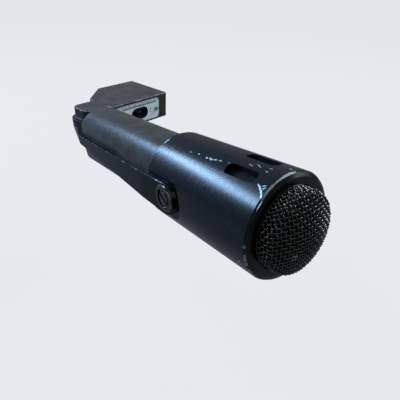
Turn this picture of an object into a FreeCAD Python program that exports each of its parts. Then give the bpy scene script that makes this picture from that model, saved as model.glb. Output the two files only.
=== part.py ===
import FreeCAD, Part
import os
from math import acos, atan2, cos, pi, radians, sin, sqrt, tan

# Yoke microphone on a swivel base, in millimetres.
# Row frame: origin at the mouth of the stand thread in the base's underside, +Z up,
# +X towards the base's face plate, +Y along the base, away from the swivel.
# The microphone and its yoke are drawn in their own frame, with the tilt axis along Y
# through the origin and +X towards the grille, and are then placed on the swivel.

# Fits
RUN = 0.05            # radial clearance of a turning or sliding fit
FIT = 0.05            # gap between pieces fastened together
SOFT_GAP = 0.3        # gap left round the foam
OVER = 1.0            # how far a cutter passes the face it opens

# Barrel
BARREL_R = 24.0
BARREL_WALL = 3.4
BARREL_FRONT = 56.0   # tilt axis to front rim
BARREL_REAR = 18.2    # tilt axis to rear edge
BARREL_EDGE = 0.6     # chamfer of the outer edges
RECESS_DEPTH = 2.4    # side recesses for the lugs, at the barrel's sides
RECESS_ROOM = 3.1     # recess round the lug, at its floor
RECESS_DRAFT = 1.3    # how far its wall leans outwards by the barrel's surface

# Ports in the barrel
PORT_LENGTH = 17.0
PORT_WIDTH = 6.2
PORT_FROM_RIM = 8.6
PORT_CORNER = 2.4
PORT_FIRST = 52.5     # degrees from +Y towards +Z
PORT_PITCH = 31.5
PORTS_IN_GROUP = 3
SCREEN_WALL = 0.8
SCREEN_PAST = 7.0     # screen behind the ports' rear ends

# Bezel, grille, foam
BEZEL_OUT = 1.0       # bezel stands out of the rim
BEZEL_SEAT = 5.0      # bezel's length inside the barrel
BEZEL_SLOPE = 2.2     # bezel's face is smaller in radius than the barrel by this
BEZEL_BEVEL = 0.4
GRILLE_IN = 2.1       # grille inside the barrel's bore
GRILLE_WALL = 1.4
GRILLE_SIDE = 8.4     # straight side in front of the rim
GRILLE_DOME = 3.6     # crown height in front of the straight side
GRILLE_FLANGE = 1.4
GRILLE_CORNER = 2.4

FOAM_SIDE = 2.5       # foam between the grille's side and the capsule

# Capsule and its mounts
CAPSULE_LENGTH = 40.0
CAPSULE_FRONT = 60.2  # tilt axis to the capsule cover's seat
CAPSULE_STEP = 4.0    # step of the rear corner
CAPSULE_LIP = 2.0     # rim round the sunk front
COVER_THICK = 1.2
COVER_HOLE_R = 0.9
COVER_HOLES = 8
COVER_HOLE_CIRCLE = 8.5
RUBBER_LENGTH = 3.4

# Tail
TAIL_STEP = 3.6       # tail's front smaller in radius than the barrel
TAIL_FLARE = 1.2      # tail's rear larger in radius than its front
TAIL_END = 131.0      # tilt axis to the tail's rear face
TAIL_WALL = 2.0
TAIL_ROUND = 5.0
ROUND_STEPS = 4       # flats in a quarter turn of the tail's end and of the fork's gap
FLAT_PAST = 6.0       # how far the wedges that cut the side flats pass the tail
TAIL_SIDE_GAP = 0.8   # between the tail's side flats and the arms
JOIN_LENGTH = 16.0    # joining ring between barrel and tail
JOIN_WALL = 3.0
END_CAP_R = 12.0
END_CAP_FLANGE = 2.0  # flange inside the tail, wider than the cap
END_CAP_THICK = 1.2   # thickness of that flange
GROMMET_R = 4.6
GROMMET_HOLE_R = 2.0
GROMMET_LIP = 1.2
GROMMET_EDGE = 0.5
TRANSFORMER = (30.0, 19.0, 19.0)
TRANSFORMER_X = -60.0
WINDING = (16.5, 11.0, 24.0)
RIB_PITCH = 26.6      # between the cradle's two ribs
RIB_THICK = 1.4
RIB_GAP = 0.2         # between a rib and the inside of the tail
RAIL = (28.0, 3.0, 1.4)

# Yoke
ARM_THICK = 2.9
ARM_GAP = 0.25        # between the arms and the recess floors
ARM_STRAIGHT = 22.0   # parallel stretch behind the tilt axis
ARM_SHORT = 1.0       # rear end of the arms' taper, in front of the tail's end
ARM_SPREAD = 7.45     # outer faces of the arms' rear ends, past the boss's radius
LUG_R = 8.4
ARM_REAR_HALF = 3.4
BOSS_R = 12.8
BOSS_HEIGHT = 8.2
CANT = 9.2            # degrees, swivel axis against the yoke's own upright
GAP_ROUND = 13.0      # rounded rear of the gap between the arms, past their taper
GAP_WALL = 6.7        # between the gap and the boss
ARM_PAST = 2.0        # arms' blank in front of the lugs
ARM_UNDER_BOSS = 0.4  # arms' foot above the boss's foot
ARM_BELOW_TOP = 0.6   # arms' back below the boss's top
PLAIN_HALF = 3.0      # edges nearer the middle plane than this stay sharp
YOKE_EDGE = 0.6

# Tilt pivot
SHOULDER_R = 4.0
CAP_IN = 1.2          # cap smaller in radius than the lug
CAP_THICK = 1.5
CAP_PROUD = 0.25
CAP_CUP_R = 5.2
CAP_CUP_DEPTH = 0.7
CAP_BEVEL = 0.35
BUTTON_R = 3.6        # raised middle of the cup
BUTTON_SUNK = 0.2     # below the cap's face
SLOT = (10.8, 1.6, 1.2)
SLOT_TURN = 35.0      # degrees
BUSH_R = 6.0
BUSH_LENGTH = 7.0
PIVOT_THREAD_R = 2.5
WASHER_THICK = 0.2

# Base
BASE_X = 50.0
BASE_Y = 65.0
BASE_Z = 22.6
BASE_WALL = 2.0
BASE_EDGE = 0.8
BASE_CORNER = 1.6
LEAF_THICK = 7.4      # neck over the swivel, flush with the top
CORNER_CUT_X = 19.5   # cut corner behind the neck
CORNER_CUT_Y = 23.0
CUT_CORNER_ANGLE = 62.0  # how far the cut turns, in degrees, which sets its wall
SWIVEL_X = 10.6
BOSS_CLEAR = 1.4      # between the box and the yoke's boss
NECK_HALF = 10.0
NECK_PAST = 8.4       # neck beyond the swivel axis
NECK_END_R = 6.0
NECK_STEP = 2.4       # neck's narrow stretch starts this far from the box
NECK_FLARE = 1.5      # neck is wider by this at the box
NECK_ROOT = 4.0       # neck's blank inside the box
COVER_PLATE = 1.6

# Face plate and switch
PLATE_RIGHT = 9.6     # plate to the base's right side
PLATE_LEFT = 1.7
PLATE_TOP = 2.1
PLATE_BOTTOM = 1.3
PLATE_THICK = 1.0
PLATE_RECESS = 1.5
PLATE_CORNER = 4.0
SWITCH_IN = 24.4      # middle of the switch from the plate's right end
SWITCH_UP = 8.6       # and from its foot
SURROUND = (19.0, 10.4)
SURROUND_PROUD = 0.5
SURROUND_RIM = 2.2
SURROUND_FLANGE = 1.2
FLANGE_ENDS = 2.0     # flange past the surround's ends
FLANGE_SIDES = 0.7    # and past its sides
SLOT_CORNER = 0.8
KNOB = (6.0, 5.2)
KNOB_PROUD = 1.6
KNOB_SUNK = 1.0       # knob behind the plate's back
KNOB_EDGE = 0.6
KNOB_FOOT = (1.6, 4.0, 3.0)
GROOVE = (0.5, 0.6)   # depth and width of the knob's grooves
GROOVE_PITCH = 1.5
SWITCH_TRAVEL = 5.0
SWITCH_BODY = (8.0, 26.0, 12.0)
SWITCH_ROOM = 0.2     # play round the switch
SWITCH_TAG = (4.0, 1.8, 0.6)
TAG_PITCH = 6.0
TROUGH_DEPTH = 2.5
TROUGH_PLAY = 2.0
PLATE_SCREW_IN = 4.3  # right screw from the plate's end; the left one mirrors it in the switch
PLATE_SCREW_R = 1.0
PLATE_SCREW_HEAD_R = 1.9
PLATE_HEAD = 1.0      # height of the head
PLATE_POST_R = 2.6
PLATE_POST = 6.5      # length of the post behind the plate
PLATE_HOLE = 7.0      # depth of its hole from the base's front

# Stand thread, socket, screws
STAND_R = 7.45
STAND_BODY_R = 9.5
STAND_FLANGE_R = 12.5
STAND_LENGTH = 12.0
STAND_FLANGE = 2.2
HOLE_PLAY = 0.1       # between a screw and its clearance hole
SOCKET_IN = 15.5      # from the base's right side
SOCKET_LOW = 0.3      # below the middle of the base's height
SOCKET_BORE_R = 3.2
SOCKET_THREAD_R = 5.4
SOCKET_NUT_FLAT = 14.0
SOCKET_NUT_THICK = 2.4
SOCKET_PAST_NUT = 0.8
SOCKET_BODY = (20.0, 13.0, 13.0)
SOCKET_BOTTOM = 4.05  # solid behind its bore
POST_R = 3.2
POST_IN = 5.0         # posts from the sides at three corners
CUT_POST = (16.0, 13.0)  # fourth post from the back and the left side, by the cut corner
SCREW_R = 1.3
SCREW_HEAD_R = 2.6
SCREW_LENGTH = 9.0
SCREW_SINK = 1.25     # depth of the sunk head
DRIVE_WIDTH = 0.7
DRIVE_DEPTH = 0.5
BOARD = (14.0, 22.0, 1.6)
BOARD_X = 3.0
BOARD_IN = 18.5       # from the base's left side
BOARD_DROP = 4.0      # below the inside of the top wall
BOARD_POST_R = 2.4
BOARD_SCREW_IN = 3.0  # screw from the board's end
BOARD_SCREW = 5.0     # screw above the board's underside
BOARD_HEAD_R = 2.3
BOARD_HEAD = 1.4
HOLE_END = 0.5        # posts' holes stop this far under the ceiling
TERMINAL = (8.0, 2.0, 0.8)
TERMINAL_PITCH = 3.6

# Swivel
SWIVEL_R = 4.0
SWIVEL_THREAD_R = 3.0
SWIVEL_THREAD = 5.4
SWIVEL_HEAD_R = 6.5
SWIVEL_HEAD = 2.4
SWIVEL_SLOT = (1.4, 1.0)  # width and depth
SWIVEL_HOLE_PAST = 0.4
HEAD_ROOM = 0.3       # round the head in its pocket
SWIVEL_WASHER_IN = 1.8  # washer smaller in radius than the boss
SWIVEL_WASHER = 0.6
SPRING_WASHER = 0.5
MID_DROP = 9.6        # yoke's own mid-plane below its boss's top, at the swivel
REST_YAW = -13.45     # degrees, microphone against the base when at rest

V = FreeCAD.Vector
AXIS_X, AXIS_Y, AXIS_Z = V(1, 0, 0), V(0, 1, 0), V(0, 0, 1)

# Derived: microphone, in its own frame
BORE_R = BARREL_R - BARREL_WALL
BEZEL_FACE_R = BARREL_R - BEZEL_SLOPE
GRILLE_R = BORE_R - GRILLE_IN
CAPSULE_R = GRILLE_R - GRILLE_WALL - FOAM_SIDE - 2 * SOFT_GAP
RIM = BARREL_FRONT
FACE = RIM + BEZEL_OUT
PORT_START = RIM - PORT_FROM_RIM - PORT_LENGTH
TAIL_FRONT_R = BARREL_R - TAIL_STEP
TAIL_REAR_R = TAIL_FRONT_R + TAIL_FLARE
RECESS_Y = BARREL_R - RECESS_DEPTH
RECESS_R = LUG_R + RECESS_ROOM
CAP_R = LUG_R - CAP_IN
ARM_IN = RECESS_Y + ARM_GAP
ARM_OUT = ARM_IN + ARM_THICK
CAP_FACE = ARM_OUT + CAP_PROUD
ARM_REAR = TAIL_END - ARM_SHORT
ARM_REAR_Y = BOSS_R + ARM_SPREAD
GAP_REAR = ARM_REAR + GAP_ROUND
BOSS_X = GAP_REAR + GAP_WALL + BOSS_R

# Derived: base, in the row frame
FRONT, BACK = BASE_X / 2, -BASE_X / 2
RIGHT, LEFT = BASE_Y / 2, -BASE_Y / 2
CEILING = BASE_Z - BASE_WALL
LEAF_LOW = BASE_Z - LEAF_THICK
SWIVEL_Y = LEFT - BOSS_CLEAR - BOSS_R
SWIVEL_AT = V(SWIVEL_X, SWIVEL_Y, 0)
SWIVEL_WASHER_R = BOSS_R - SWIVEL_WASHER_IN
BOSS_TOP = LEAF_LOW - SWIVEL_WASHER - 2 * FIT
AXIS_MID = BOSS_TOP - MID_DROP
BOSS_BASE = BOSS_TOP - BOSS_HEIGHT - AXIS_MID
POCKET_DEPTH = SWIVEL_HEAD + SPRING_WASHER + 2 * FIT
POCKET_FLOOR = BOSS_TOP - BOSS_HEIGHT + POCKET_DEPTH
PLATE_Y0, PLATE_Y1 = LEFT + PLATE_LEFT, RIGHT - PLATE_RIGHT
PLATE_Z0, PLATE_Z1 = PLATE_BOTTOM, BASE_Z - PLATE_TOP
SWITCH_Y = PLATE_Y1 - SWITCH_IN
SWITCH_Z = PLATE_Z0 + SWITCH_UP
PLATE_SCREW_Y = SWITCH_IN - PLATE_SCREW_IN
PLATE_BACK = FRONT - PLATE_RECESS
PLATE_FACE = PLATE_BACK + PLATE_THICK
SURROUND_BACK = PLATE_BACK - SURROUND_FLANGE
SURROUND_FACE = PLATE_FACE + SURROUND_PROUD
POSTS = ((FRONT - POST_IN, RIGHT - POST_IN), (BACK + POST_IN, RIGHT - POST_IN),
         (FRONT - POST_IN, LEFT + POST_IN), (BACK + CUT_POST[0], LEFT + CUT_POST[1]))
SOCKET_Y, SOCKET_Z = RIGHT - SOCKET_IN, BASE_Z / 2 - SOCKET_LOW
SOCKET_AT = V(0, SOCKET_Y, SOCKET_Z)
BOARD_Y = LEFT + BOARD_IN
BOARD_TOP = CEILING - BOARD_DROP - FIT
BOARD_LOW = BOARD_TOP - BOARD[2]


def lathe(outline):
    """Solid of revolution about X from (x, radius) corners."""
    points = [V(x, 0, r) for x, r in outline]
    face = Part.Face(Part.makePolygon(points + points[:1]))
    return face.revolve(V(0, 0, 0), AXIS_X, 360)


def rod(radius, start, end, axis=AXIS_X, at=V(0, 0, 0)):
    """Cylinder along an axis, from one station on it to another."""
    return Part.makeCylinder(radius, end - start, at + axis * start, axis)


def tube(outer, inner, start, end, axis=AXIS_X, at=V(0, 0, 0)):
    """Hollow cylinder along an axis."""
    return rod(outer, start, end, axis, at).cut(rod(inner, start - OVER, end + OVER, axis, at))


def block(size, centre):
    """Box about its centre."""
    corner = V(*[c - s / 2 for c, s in zip(centre, size)])
    return Part.makeBox(*size, corner)


def prism(points, along, base=V(0, 0, 0)):
    """Straight prism of a closed polygon."""
    face = Part.Face(Part.makePolygon([base + p for p in points + points[:1]]))
    return face.extrude(along)


def edges_where(solid, keep):
    """Edges of a solid whose middle point passes a test."""
    return [e for e in solid.Edges if keep(e.valueAt((e.FirstParameter + e.LastParameter) / 2))]


def rounded_slab(length, width, corner, x0, x1, y, z):
    """Plate facing X with rounded corners, its length along Y and its width along Z."""
    slab = block((x1 - x0, length, width), ((x0 + x1) / 2, y, z))
    edges = [e for e in slab.Edges if abs(e.tangentAt(e.FirstParameter).x) > 0.9]
    return slab.makeFillet(corner, edges)


def on_both_sides(solid):
    """A solid and its mirror image in the plane Y = 0."""
    return solid, solid.mirror(V(0, 0, 0), AXIS_Y)


def cut_by(solid, cutters):
    """A solid less each of the cutters."""
    for cutter in cutters:
        solid = solid.cut(cutter)
    return solid


def hexagon(flat, start, end, at):
    """Hexagonal nut blank along X."""
    reach = flat / 2 / cos(pi / 6)
    corners = [V(0, reach * cos(k * pi / 3), reach * sin(k * pi / 3)) for k in range(6)]
    return prism(corners, AXIS_X * (end - start), at + AXIS_X * start)


# Barrel, grille and capsule


def side_recesses():
    """Cutters of the two recesses for the lugs, open to the rear, with a hole for each bush."""
    depth = BARREL_R - RECESS_Y
    nose = Part.makeCone(RECESS_R, RECESS_R + 2 * RECESS_DRAFT, 2 * depth, V(0, RECESS_Y, 0), AXIS_Y)
    rear = BARREL_REAR + 2 * OVER
    run = block((rear, 2 * depth, 2 * RECESS_R), (-rear / 2, RECESS_Y + depth, 0))
    hole = rod(BUSH_R + FIT, 0, BARREL_R, AXIS_Y)
    return on_both_sides(nose.fuse(run).fuse(hole))


def ports():
    """Cutters of the two groups of ports, on top and underneath."""
    middle = V(PORT_START + PORT_LENGTH / 2, 0, BARREL_R * 1.5)
    port = block((PORT_LENGTH, PORT_WIDTH, 2 * BARREL_R), middle)
    port = port.makeFillet(PORT_CORNER, edges_where(port, lambda m: abs(m.z - middle.z) < OVER))
    cutters = []
    upright = 90
    for group in (0, 180):
        for k in range(PORTS_IN_GROUP):
            turned = port.copy()
            turned.rotate(V(0, 0, 0), AXIS_X, PORT_FIRST + k * PORT_PITCH - upright + group)
            cutters.append(turned)
    return cutters


def barrel_shell():
    half_edge = BARREL_EDGE / 2
    shell = lathe([(-BARREL_REAR, BORE_R), (-BARREL_REAR, BARREL_R - half_edge),
                   (-BARREL_REAR + half_edge, BARREL_R), (RIM - BARREL_EDGE, BARREL_R),
                   (RIM, BARREL_R - BARREL_EDGE), (RIM, BORE_R + BARREL_EDGE),
                   (RIM - BARREL_EDGE, BORE_R)])
    return cut_by(cut_by(shell, side_recesses()), ports())


def port_screen():
    return tube(BORE_R - FIT, BORE_R - SCREEN_WALL, PORT_START - SCREEN_PAST, RIM - BEZEL_SEAT - FIT)


def front_bezel():
    """Ring on the barrel's rim that holds the grille's flange in a groove."""
    seat_r = BORE_R - FIT
    edge_r = BARREL_R - BARREL_EDGE
    throat = GRILLE_R + FIT
    lip = GRILLE_R + GRILLE_FLANGE + FIT
    groove = RIM - 2 * GRILLE_FLANGE - FIT
    inner = GRILLE_R - GRILLE_FLANGE
    return lathe([(RIM - BEZEL_SEAT, seat_r), (RIM + FIT, seat_r), (RIM + FIT, edge_r),
                  (RIM + BEZEL_BEVEL, edge_r), (FACE, BEZEL_FACE_R), (FACE, GRILLE_R + BEZEL_BEVEL),
                  (FACE - BEZEL_BEVEL, throat), (RIM - GRILLE_FLANGE, throat),
                  (RIM - GRILLE_FLANGE, lip), (groove, lip), (groove, inner), (RIM - BEZEL_SEAT, inner)])


def cap_outline(radius, side_end, dome, corner, steps=5):
    """Side, rounded shoulder and shallow crown of a cap, from the side to the tip."""
    points = []
    for k in range(steps + 1):
        turn = k * pi / 2 / steps
        points.append((side_end - corner + corner * sin(turn), radius - corner + corner * cos(turn)))
    flat = radius - corner
    for k in range(1, steps + 1):
        r = flat * (1 - k / steps)
        points.append((side_end + dome * (1 - (r / flat) ** 2), r))
    return points


def grille_mesh():
    side_end = RIM + GRILLE_SIDE
    foot = RIM - 2 * GRILLE_FLANGE
    step = foot + GRILLE_FLANGE - FIT
    flange_r = GRILLE_R + GRILLE_FLANGE
    outer = cap_outline(GRILLE_R, side_end, GRILLE_DOME, GRILLE_CORNER)
    inner = cap_outline(GRILLE_R - GRILLE_WALL, side_end - GRILLE_WALL, GRILLE_DOME,
                        GRILLE_CORNER - GRILLE_WALL / 2)
    return lathe([(foot, flange_r), (step, flange_r), (step, GRILLE_R)] + outer
                 + inner[::-1] + [(foot, GRILLE_R - GRILLE_WALL)])


def wind_foam():
    outer_r = GRILLE_R - GRILLE_WALL - SOFT_GAP
    side_end = RIM + GRILLE_SIDE - GRILLE_WALL - SOFT_GAP
    outer = cap_outline(outer_r, side_end, GRILLE_DOME, GRILLE_CORNER)
    back = RIM - 2 * GRILLE_FLANGE
    floor = CAPSULE_FRONT + COVER_THICK + SOFT_GAP
    inner_r = CAPSULE_R + SOFT_GAP
    return lathe([(back, inner_r), (back, outer_r)] + outer + [(floor, 0), (floor, inner_r)])


def capsule_body():
    rear = CAPSULE_FRONT - CAPSULE_LENGTH
    shoulder = rear + CAPSULE_STEP
    floor = CAPSULE_FRONT - CAPSULE_LIP
    return lathe([(rear, 0), (rear, CAPSULE_R - CAPSULE_STEP), (shoulder, CAPSULE_R - CAPSULE_STEP),
                  (shoulder, CAPSULE_R), (CAPSULE_FRONT, CAPSULE_R),
                  (CAPSULE_FRONT, CAPSULE_R - CAPSULE_LIP), (floor, CAPSULE_R - CAPSULE_LIP),
                  (floor, 0)])


def capsule_cover():
    front = CAPSULE_FRONT + COVER_THICK
    holes = []
    for k in range(COVER_HOLES):
        angle = 2 * pi * k / COVER_HOLES
        for reach in (COVER_HOLE_CIRCLE, COVER_HOLE_CIRCLE / 2):
            centre = V(0, reach * cos(angle), reach * sin(angle))
            holes.append(rod(COVER_HOLE_R, CAPSULE_FRONT - OVER, front + OVER, AXIS_X, centre))
    return cut_by(rod(CAPSULE_R, CAPSULE_FRONT + FIT, front), holes)


def capsule_mount(start):
    """Rubber ring between the capsule and the barrel's bore or screen."""
    return tube(BORE_R - SCREEN_WALL - FIT, CAPSULE_R + FIT, start, start + RUBBER_LENGTH)


# Tail


def tail_radius(x):
    """Radius of the tail's cone at a station."""
    share = (-x - BARREL_REAR) / (TAIL_END - BARREL_REAR)
    return TAIL_FRONT_R + share * (TAIL_REAR_R - TAIL_FRONT_R)


def arm_inner(x):
    """Inner face of an arm at a station behind its parallel stretch."""
    share = (-x - ARM_STRAIGHT) / (ARM_REAR - ARM_STRAIGHT)
    return ARM_IN + share * (ARM_REAR_Y - ARM_THICK - ARM_IN)


def side_flats(gap):
    """Pair of wedges outside the tail's flats, which follow the arms at a gap."""
    front, rear = -BARREL_REAR + FLAT_PAST, -TAIL_END - FLAT_PAST
    outline = [V(front, arm_inner(front) - gap, -BARREL_R), V(rear, arm_inner(rear) - gap, -BARREL_R),
               V(rear, 2 * BARREL_R, -BARREL_R), V(front, 2 * BARREL_R, -BARREL_R)]
    return on_both_sides(prism(outline, AXIS_Z * 2 * BARREL_R))


def tail_shell():
    front = -BARREL_REAR - FIT
    rear = -TAIL_END
    bore_end_r = TAIL_REAR_R - TAIL_WALL
    rounding = []
    for k in range(ROUND_STEPS + 1):
        turn = k * pi / 2 / ROUND_STEPS
        rounding.append((rear + TAIL_ROUND * (1 - cos(turn)),
                         TAIL_REAR_R - TAIL_ROUND * (1 - sin(turn))))
    outer = lathe([(rear, 0)] + rounding + [(front, TAIL_FRONT_R), (front, 0)])
    inner = lathe([(rear + TAIL_WALL, 0), (rear + TAIL_WALL, TAIL_REAR_R - TAIL_ROUND),
                   (rear + TAIL_ROUND, bore_end_r), (front + OVER, TAIL_FRONT_R - TAIL_WALL),
                   (front + OVER, 0)])
    outer = cut_by(outer, side_flats(TAIL_SIDE_GAP))
    inner = cut_by(inner, side_flats(TAIL_SIDE_GAP + TAIL_WALL))
    opening = rod(END_CAP_R + FIT, rear - OVER, rear + TAIL_WALL + OVER)
    return outer.cut(inner).cut(opening)


def joining_ring():
    """Ring inside the barrel's rear end that carries the tail on a spigot."""
    flat = arm_inner(-BARREL_REAR - FLAT_PAST) - TAIL_SIDE_GAP - TAIL_WALL
    spigot_r = min(TAIL_FRONT_R - TAIL_WALL, flat) - 2 * FIT
    front = -BARREL_REAR + JOIN_LENGTH / 2
    rear = -BARREL_REAR - JOIN_LENGTH / 2
    seat = BORE_R - FIT
    return lathe([(rear, spigot_r - JOIN_WALL), (rear, spigot_r), (-BARREL_REAR, spigot_r),
                  (-BARREL_REAR, seat), (front, seat), (front, spigot_r - JOIN_WALL)])


def tail_end_cap():
    rear = -TAIL_END
    step = rear + TAIL_WALL + FIT
    inside = step + END_CAP_THICK
    flange_r = END_CAP_R + END_CAP_FLANGE
    return lathe([(rear, GROMMET_R + FIT), (rear, END_CAP_R), (step, END_CAP_R), (step, flange_r),
                  (inside, flange_r), (inside, GROMMET_R + FIT)])


def lead_grommet():
    rear = -TAIL_END
    outside = rear - GROMMET_LIP
    inside = rear + TAIL_WALL + FIT + END_CAP_THICK
    lip_r = GROMMET_R + GROMMET_LIP
    return lathe([(outside, GROMMET_HOLE_R), (outside, lip_r - GROMMET_EDGE),
                  (outside + GROMMET_EDGE, lip_r), (rear - FIT, lip_r), (rear - FIT, GROMMET_R),
                  (inside + FIT, GROMMET_R), (inside + FIT, lip_r), (inside + GROMMET_LIP, lip_r),
                  (inside + GROMMET_LIP, GROMMET_HOLE_R)])


def transformer():
    place = (TRANSFORMER_X, 0, 0)
    return block(TRANSFORMER, place).fuse(block(WINDING, place))


def transformer_cradle():
    """Two ribs round the transformer that stand on the inside of the tail, and a rail on each side."""
    half_y, half_z = TRANSFORMER[1] / 2 + FIT, TRANSFORMER[2] / 2 + FIT
    ribs = []
    for side in (-1, 1):
        x = TRANSFORMER_X + side * RIB_PITCH / 2
        start = x - RIB_THICK / 2
        end = start + RIB_THICK
        rib = cut_by(rod(tail_radius(end) - TAIL_WALL - RIB_GAP, start, end),
                     side_flats(TAIL_SIDE_GAP + TAIL_WALL + RIB_GAP))
        ribs.append(rib.cut(block((4 * RIB_THICK, 2 * half_y, 2 * half_z), (x, 0, 0))))
    rails = on_both_sides(block(RAIL, (TRANSFORMER_X, -half_y - RAIL[1] / 2, 0)))
    return ribs[0].fuse(ribs[1]).fuse(list(rails))


# Tilt pivot and yoke


def pivot_bush():
    return tube(BUSH_R, PIVOT_THREAD_R + FIT, RECESS_Y - BUSH_LENGTH, RECESS_Y, AXIS_Y)


def pivot_washer():
    start = RECESS_Y + (ARM_GAP - WASHER_THICK) / 2
    return tube(CAP_R, SHOULDER_R + 2 * FIT, start, start + WASHER_THICK, AXIS_Y)


def pivot_screw():
    """Shoulder screw whose cupped cap has a raised, slotted middle."""
    under_cap = CAP_FACE - CAP_THICK
    cup_floor = CAP_FACE - CAP_CUP_DEPTH
    shoulder = rod(SHOULDER_R, RECESS_Y + FIT, under_cap + FIT, AXIS_Y)
    thread = rod(PIVOT_THREAD_R, RECESS_Y - BUSH_LENGTH + OVER, under_cap, AXIS_Y)
    cap = rod(CAP_R, under_cap, CAP_FACE, AXIS_Y)
    cap = cap.makeChamfer(CAP_BEVEL, edges_where(cap, lambda m: m.y > CAP_FACE - FIT))
    cup = rod(CAP_CUP_R, cup_floor, CAP_FACE + OVER, AXIS_Y)
    slot = block(SLOT, (0, cup_floor, 0))
    slot.rotate(V(0, 0, 0), AXIS_Y, SLOT_TURN)
    button = rod(BUTTON_R, cup_floor - FIT, CAP_FACE - BUTTON_SUNK, AXIS_Y)
    return shoulder.fuse([thread, cap]).cut(cup).fuse(button).cut(slot)


def tangent_point(x, y):
    """Where a line from a point touches the boss's circle on the far side."""
    dx, dy = x + BOSS_X, y
    turn = atan2(dy, dx) + acos(BOSS_R / sqrt(dx * dx + dy * dy))
    return -BOSS_X + BOSS_R * cos(turn), BOSS_R * sin(turn)


def fork_plan():
    """Fork seen from above: straight arms that draw in to the boss, and a rounded gap between them."""
    top = LUG_R + ARM_PAST
    gap_half = arm_inner(-ARM_REAR)
    outer = [(top, ARM_OUT), (-ARM_STRAIGHT, ARM_OUT), (-ARM_REAR, ARM_REAR_Y),
             tangent_point(-ARM_REAR, ARM_REAR_Y)]
    inner = [(top, ARM_IN), (-ARM_STRAIGHT, ARM_IN)]
    for k in range(ROUND_STEPS):
        turn = k * pi / 2 / ROUND_STEPS
        inner.append((-ARM_REAR - (GAP_REAR - ARM_REAR) * sin(turn), gap_half * cos(turn)))
    plan = [V(x, y, -BARREL_R) for x, y in outer] + [V(x, -y, -BARREL_R) for x, y in outer[::-1]]
    plan += [V(x, -y, -BARREL_R) for x, y in inner] + [V(-GAP_REAR, 0, -BARREL_R)]
    plan += [V(x, y, -BARREL_R) for x, y in inner[::-1]]
    return prism(plan, AXIS_Z * 2 * BARREL_R)


def fork_side():
    """Fork seen from the side: round lugs, arms that taper to the rear, then a rise to the boss."""
    lean = tan(radians(CANT))
    front_of_boss = -BOSS_X + BOSS_R
    drop = BOSS_R * lean
    foot = BOSS_BASE / cos(radians(CANT))
    back = foot + BOSS_HEIGHT - ARM_BELOW_TOP
    foot += ARM_UNDER_BOSS
    taper = atan2(LUG_R - ARM_REAR_HALF, ARM_REAR)
    touch_x, touch_z = -LUG_R * sin(taper), LUG_R * cos(taper)
    side = [(touch_x, -touch_z), (-ARM_REAR, -ARM_REAR_HALF), (front_of_boss, foot - drop),
            (-BOSS_X, foot), (-BOSS_X, back), (front_of_boss, back - drop), (-ARM_REAR, ARM_REAR_HALF),
            (touch_x, touch_z)]
    arms = prism([V(x, -2 * BARREL_R, z) for x, z in side], AXIS_Y * 4 * BARREL_R)
    return arms.fuse(rod(LUG_R, -2 * BARREL_R, 2 * BARREL_R, AXIS_Y))


def canted(solid):
    """A solid drawn on the upright Z axis, leant and carried to the swivel in the yoke's frame."""
    solid.rotate(V(0, 0, 0), AXIS_Y, CANT)
    solid.translate(V(-BOSS_X, 0, 0))
    return solid


def yoke():
    """Fork from its plan and its side view, with the canted boss and the holes for the screws."""
    fork = fork_plan().common(fork_side())
    outline = edges_where(fork, lambda m: m.x > -BOSS_X and abs(m.y) > PLAIN_HALF)
    fork = fork.makeFillet(YOKE_EDGE, outline)
    boss = Part.makeCylinder(BOSS_R, BOSS_HEIGHT, V(0, 0, BOSS_BASE), AXIS_Z)
    boss = canted(boss.makeFillet(YOKE_EDGE, [boss.Edges[0], boss.Edges[2]]))
    bore = rod(SWIVEL_R + RUN, BOSS_BASE - 2 * OVER, BOSS_BASE + BOSS_HEIGHT + 2 * OVER, AXIS_Z)
    pocket = rod(SWIVEL_HEAD_R + HEAD_ROOM, BOSS_BASE - BARREL_R, BOSS_BASE + POCKET_DEPTH, AXIS_Z)
    fork = fork.fuse(boss).removeSplitter().cut(canted(bore)).cut(canted(pocket))
    shank = rod(SHOULDER_R + RUN, 0, 2 * BARREL_R, AXIS_Y)
    cap = rod(CAP_R + 2 * RUN, CAP_FACE - CAP_THICK - FIT, 2 * BARREL_R, AXIS_Y)
    return cut_by(fork, on_both_sides(shank.fuse(cap)))


# Base box


def base_outline(inset):
    """Plan of the base box, drawn in by an inset."""
    cut = inset * tan(radians(CUT_CORNER_ANGLE / 2))
    return [V(FRONT - inset, RIGHT - inset, 0), V(BACK + inset, RIGHT - inset, 0),
            V(BACK + inset, LEFT + CORNER_CUT_Y + cut, 0), V(BACK + CORNER_CUT_X + cut, LEFT + inset, 0),
            V(FRONT - inset, LEFT + inset, 0)]


def plate_slab(inset, x0, x1):
    """Face plate's outline as a slab, drawn in by an inset."""
    length = PLATE_Y1 - PLATE_Y0 - 2 * inset
    width = PLATE_Z1 - PLATE_Z0 - 2 * inset
    return rounded_slab(length, width, PLATE_CORNER - inset, x0, x1,
                        (PLATE_Y0 + PLATE_Y1) / 2, (PLATE_Z0 + PLATE_Z1) / 2)


def oval(length, width, x0, x1):
    """Slab facing X with round ends, at the switch."""
    return rounded_slab(length, width, width / 2 - FIT / 5, x0, x1, SWITCH_Y, SWITCH_Z)


def plate_screw_places():
    return [V(0, SWITCH_Y + side * PLATE_SCREW_Y, SWITCH_Z) for side in (1, -1)]


def board_places():
    reach = BOARD[1] / 2 - BOARD_SCREW_IN
    return [V(BOARD_X, BOARD_Y + side * reach, 0) for side in (-1, 1)]


def post_places():
    return [V(x, y, 0) for x, y in POSTS]


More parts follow.
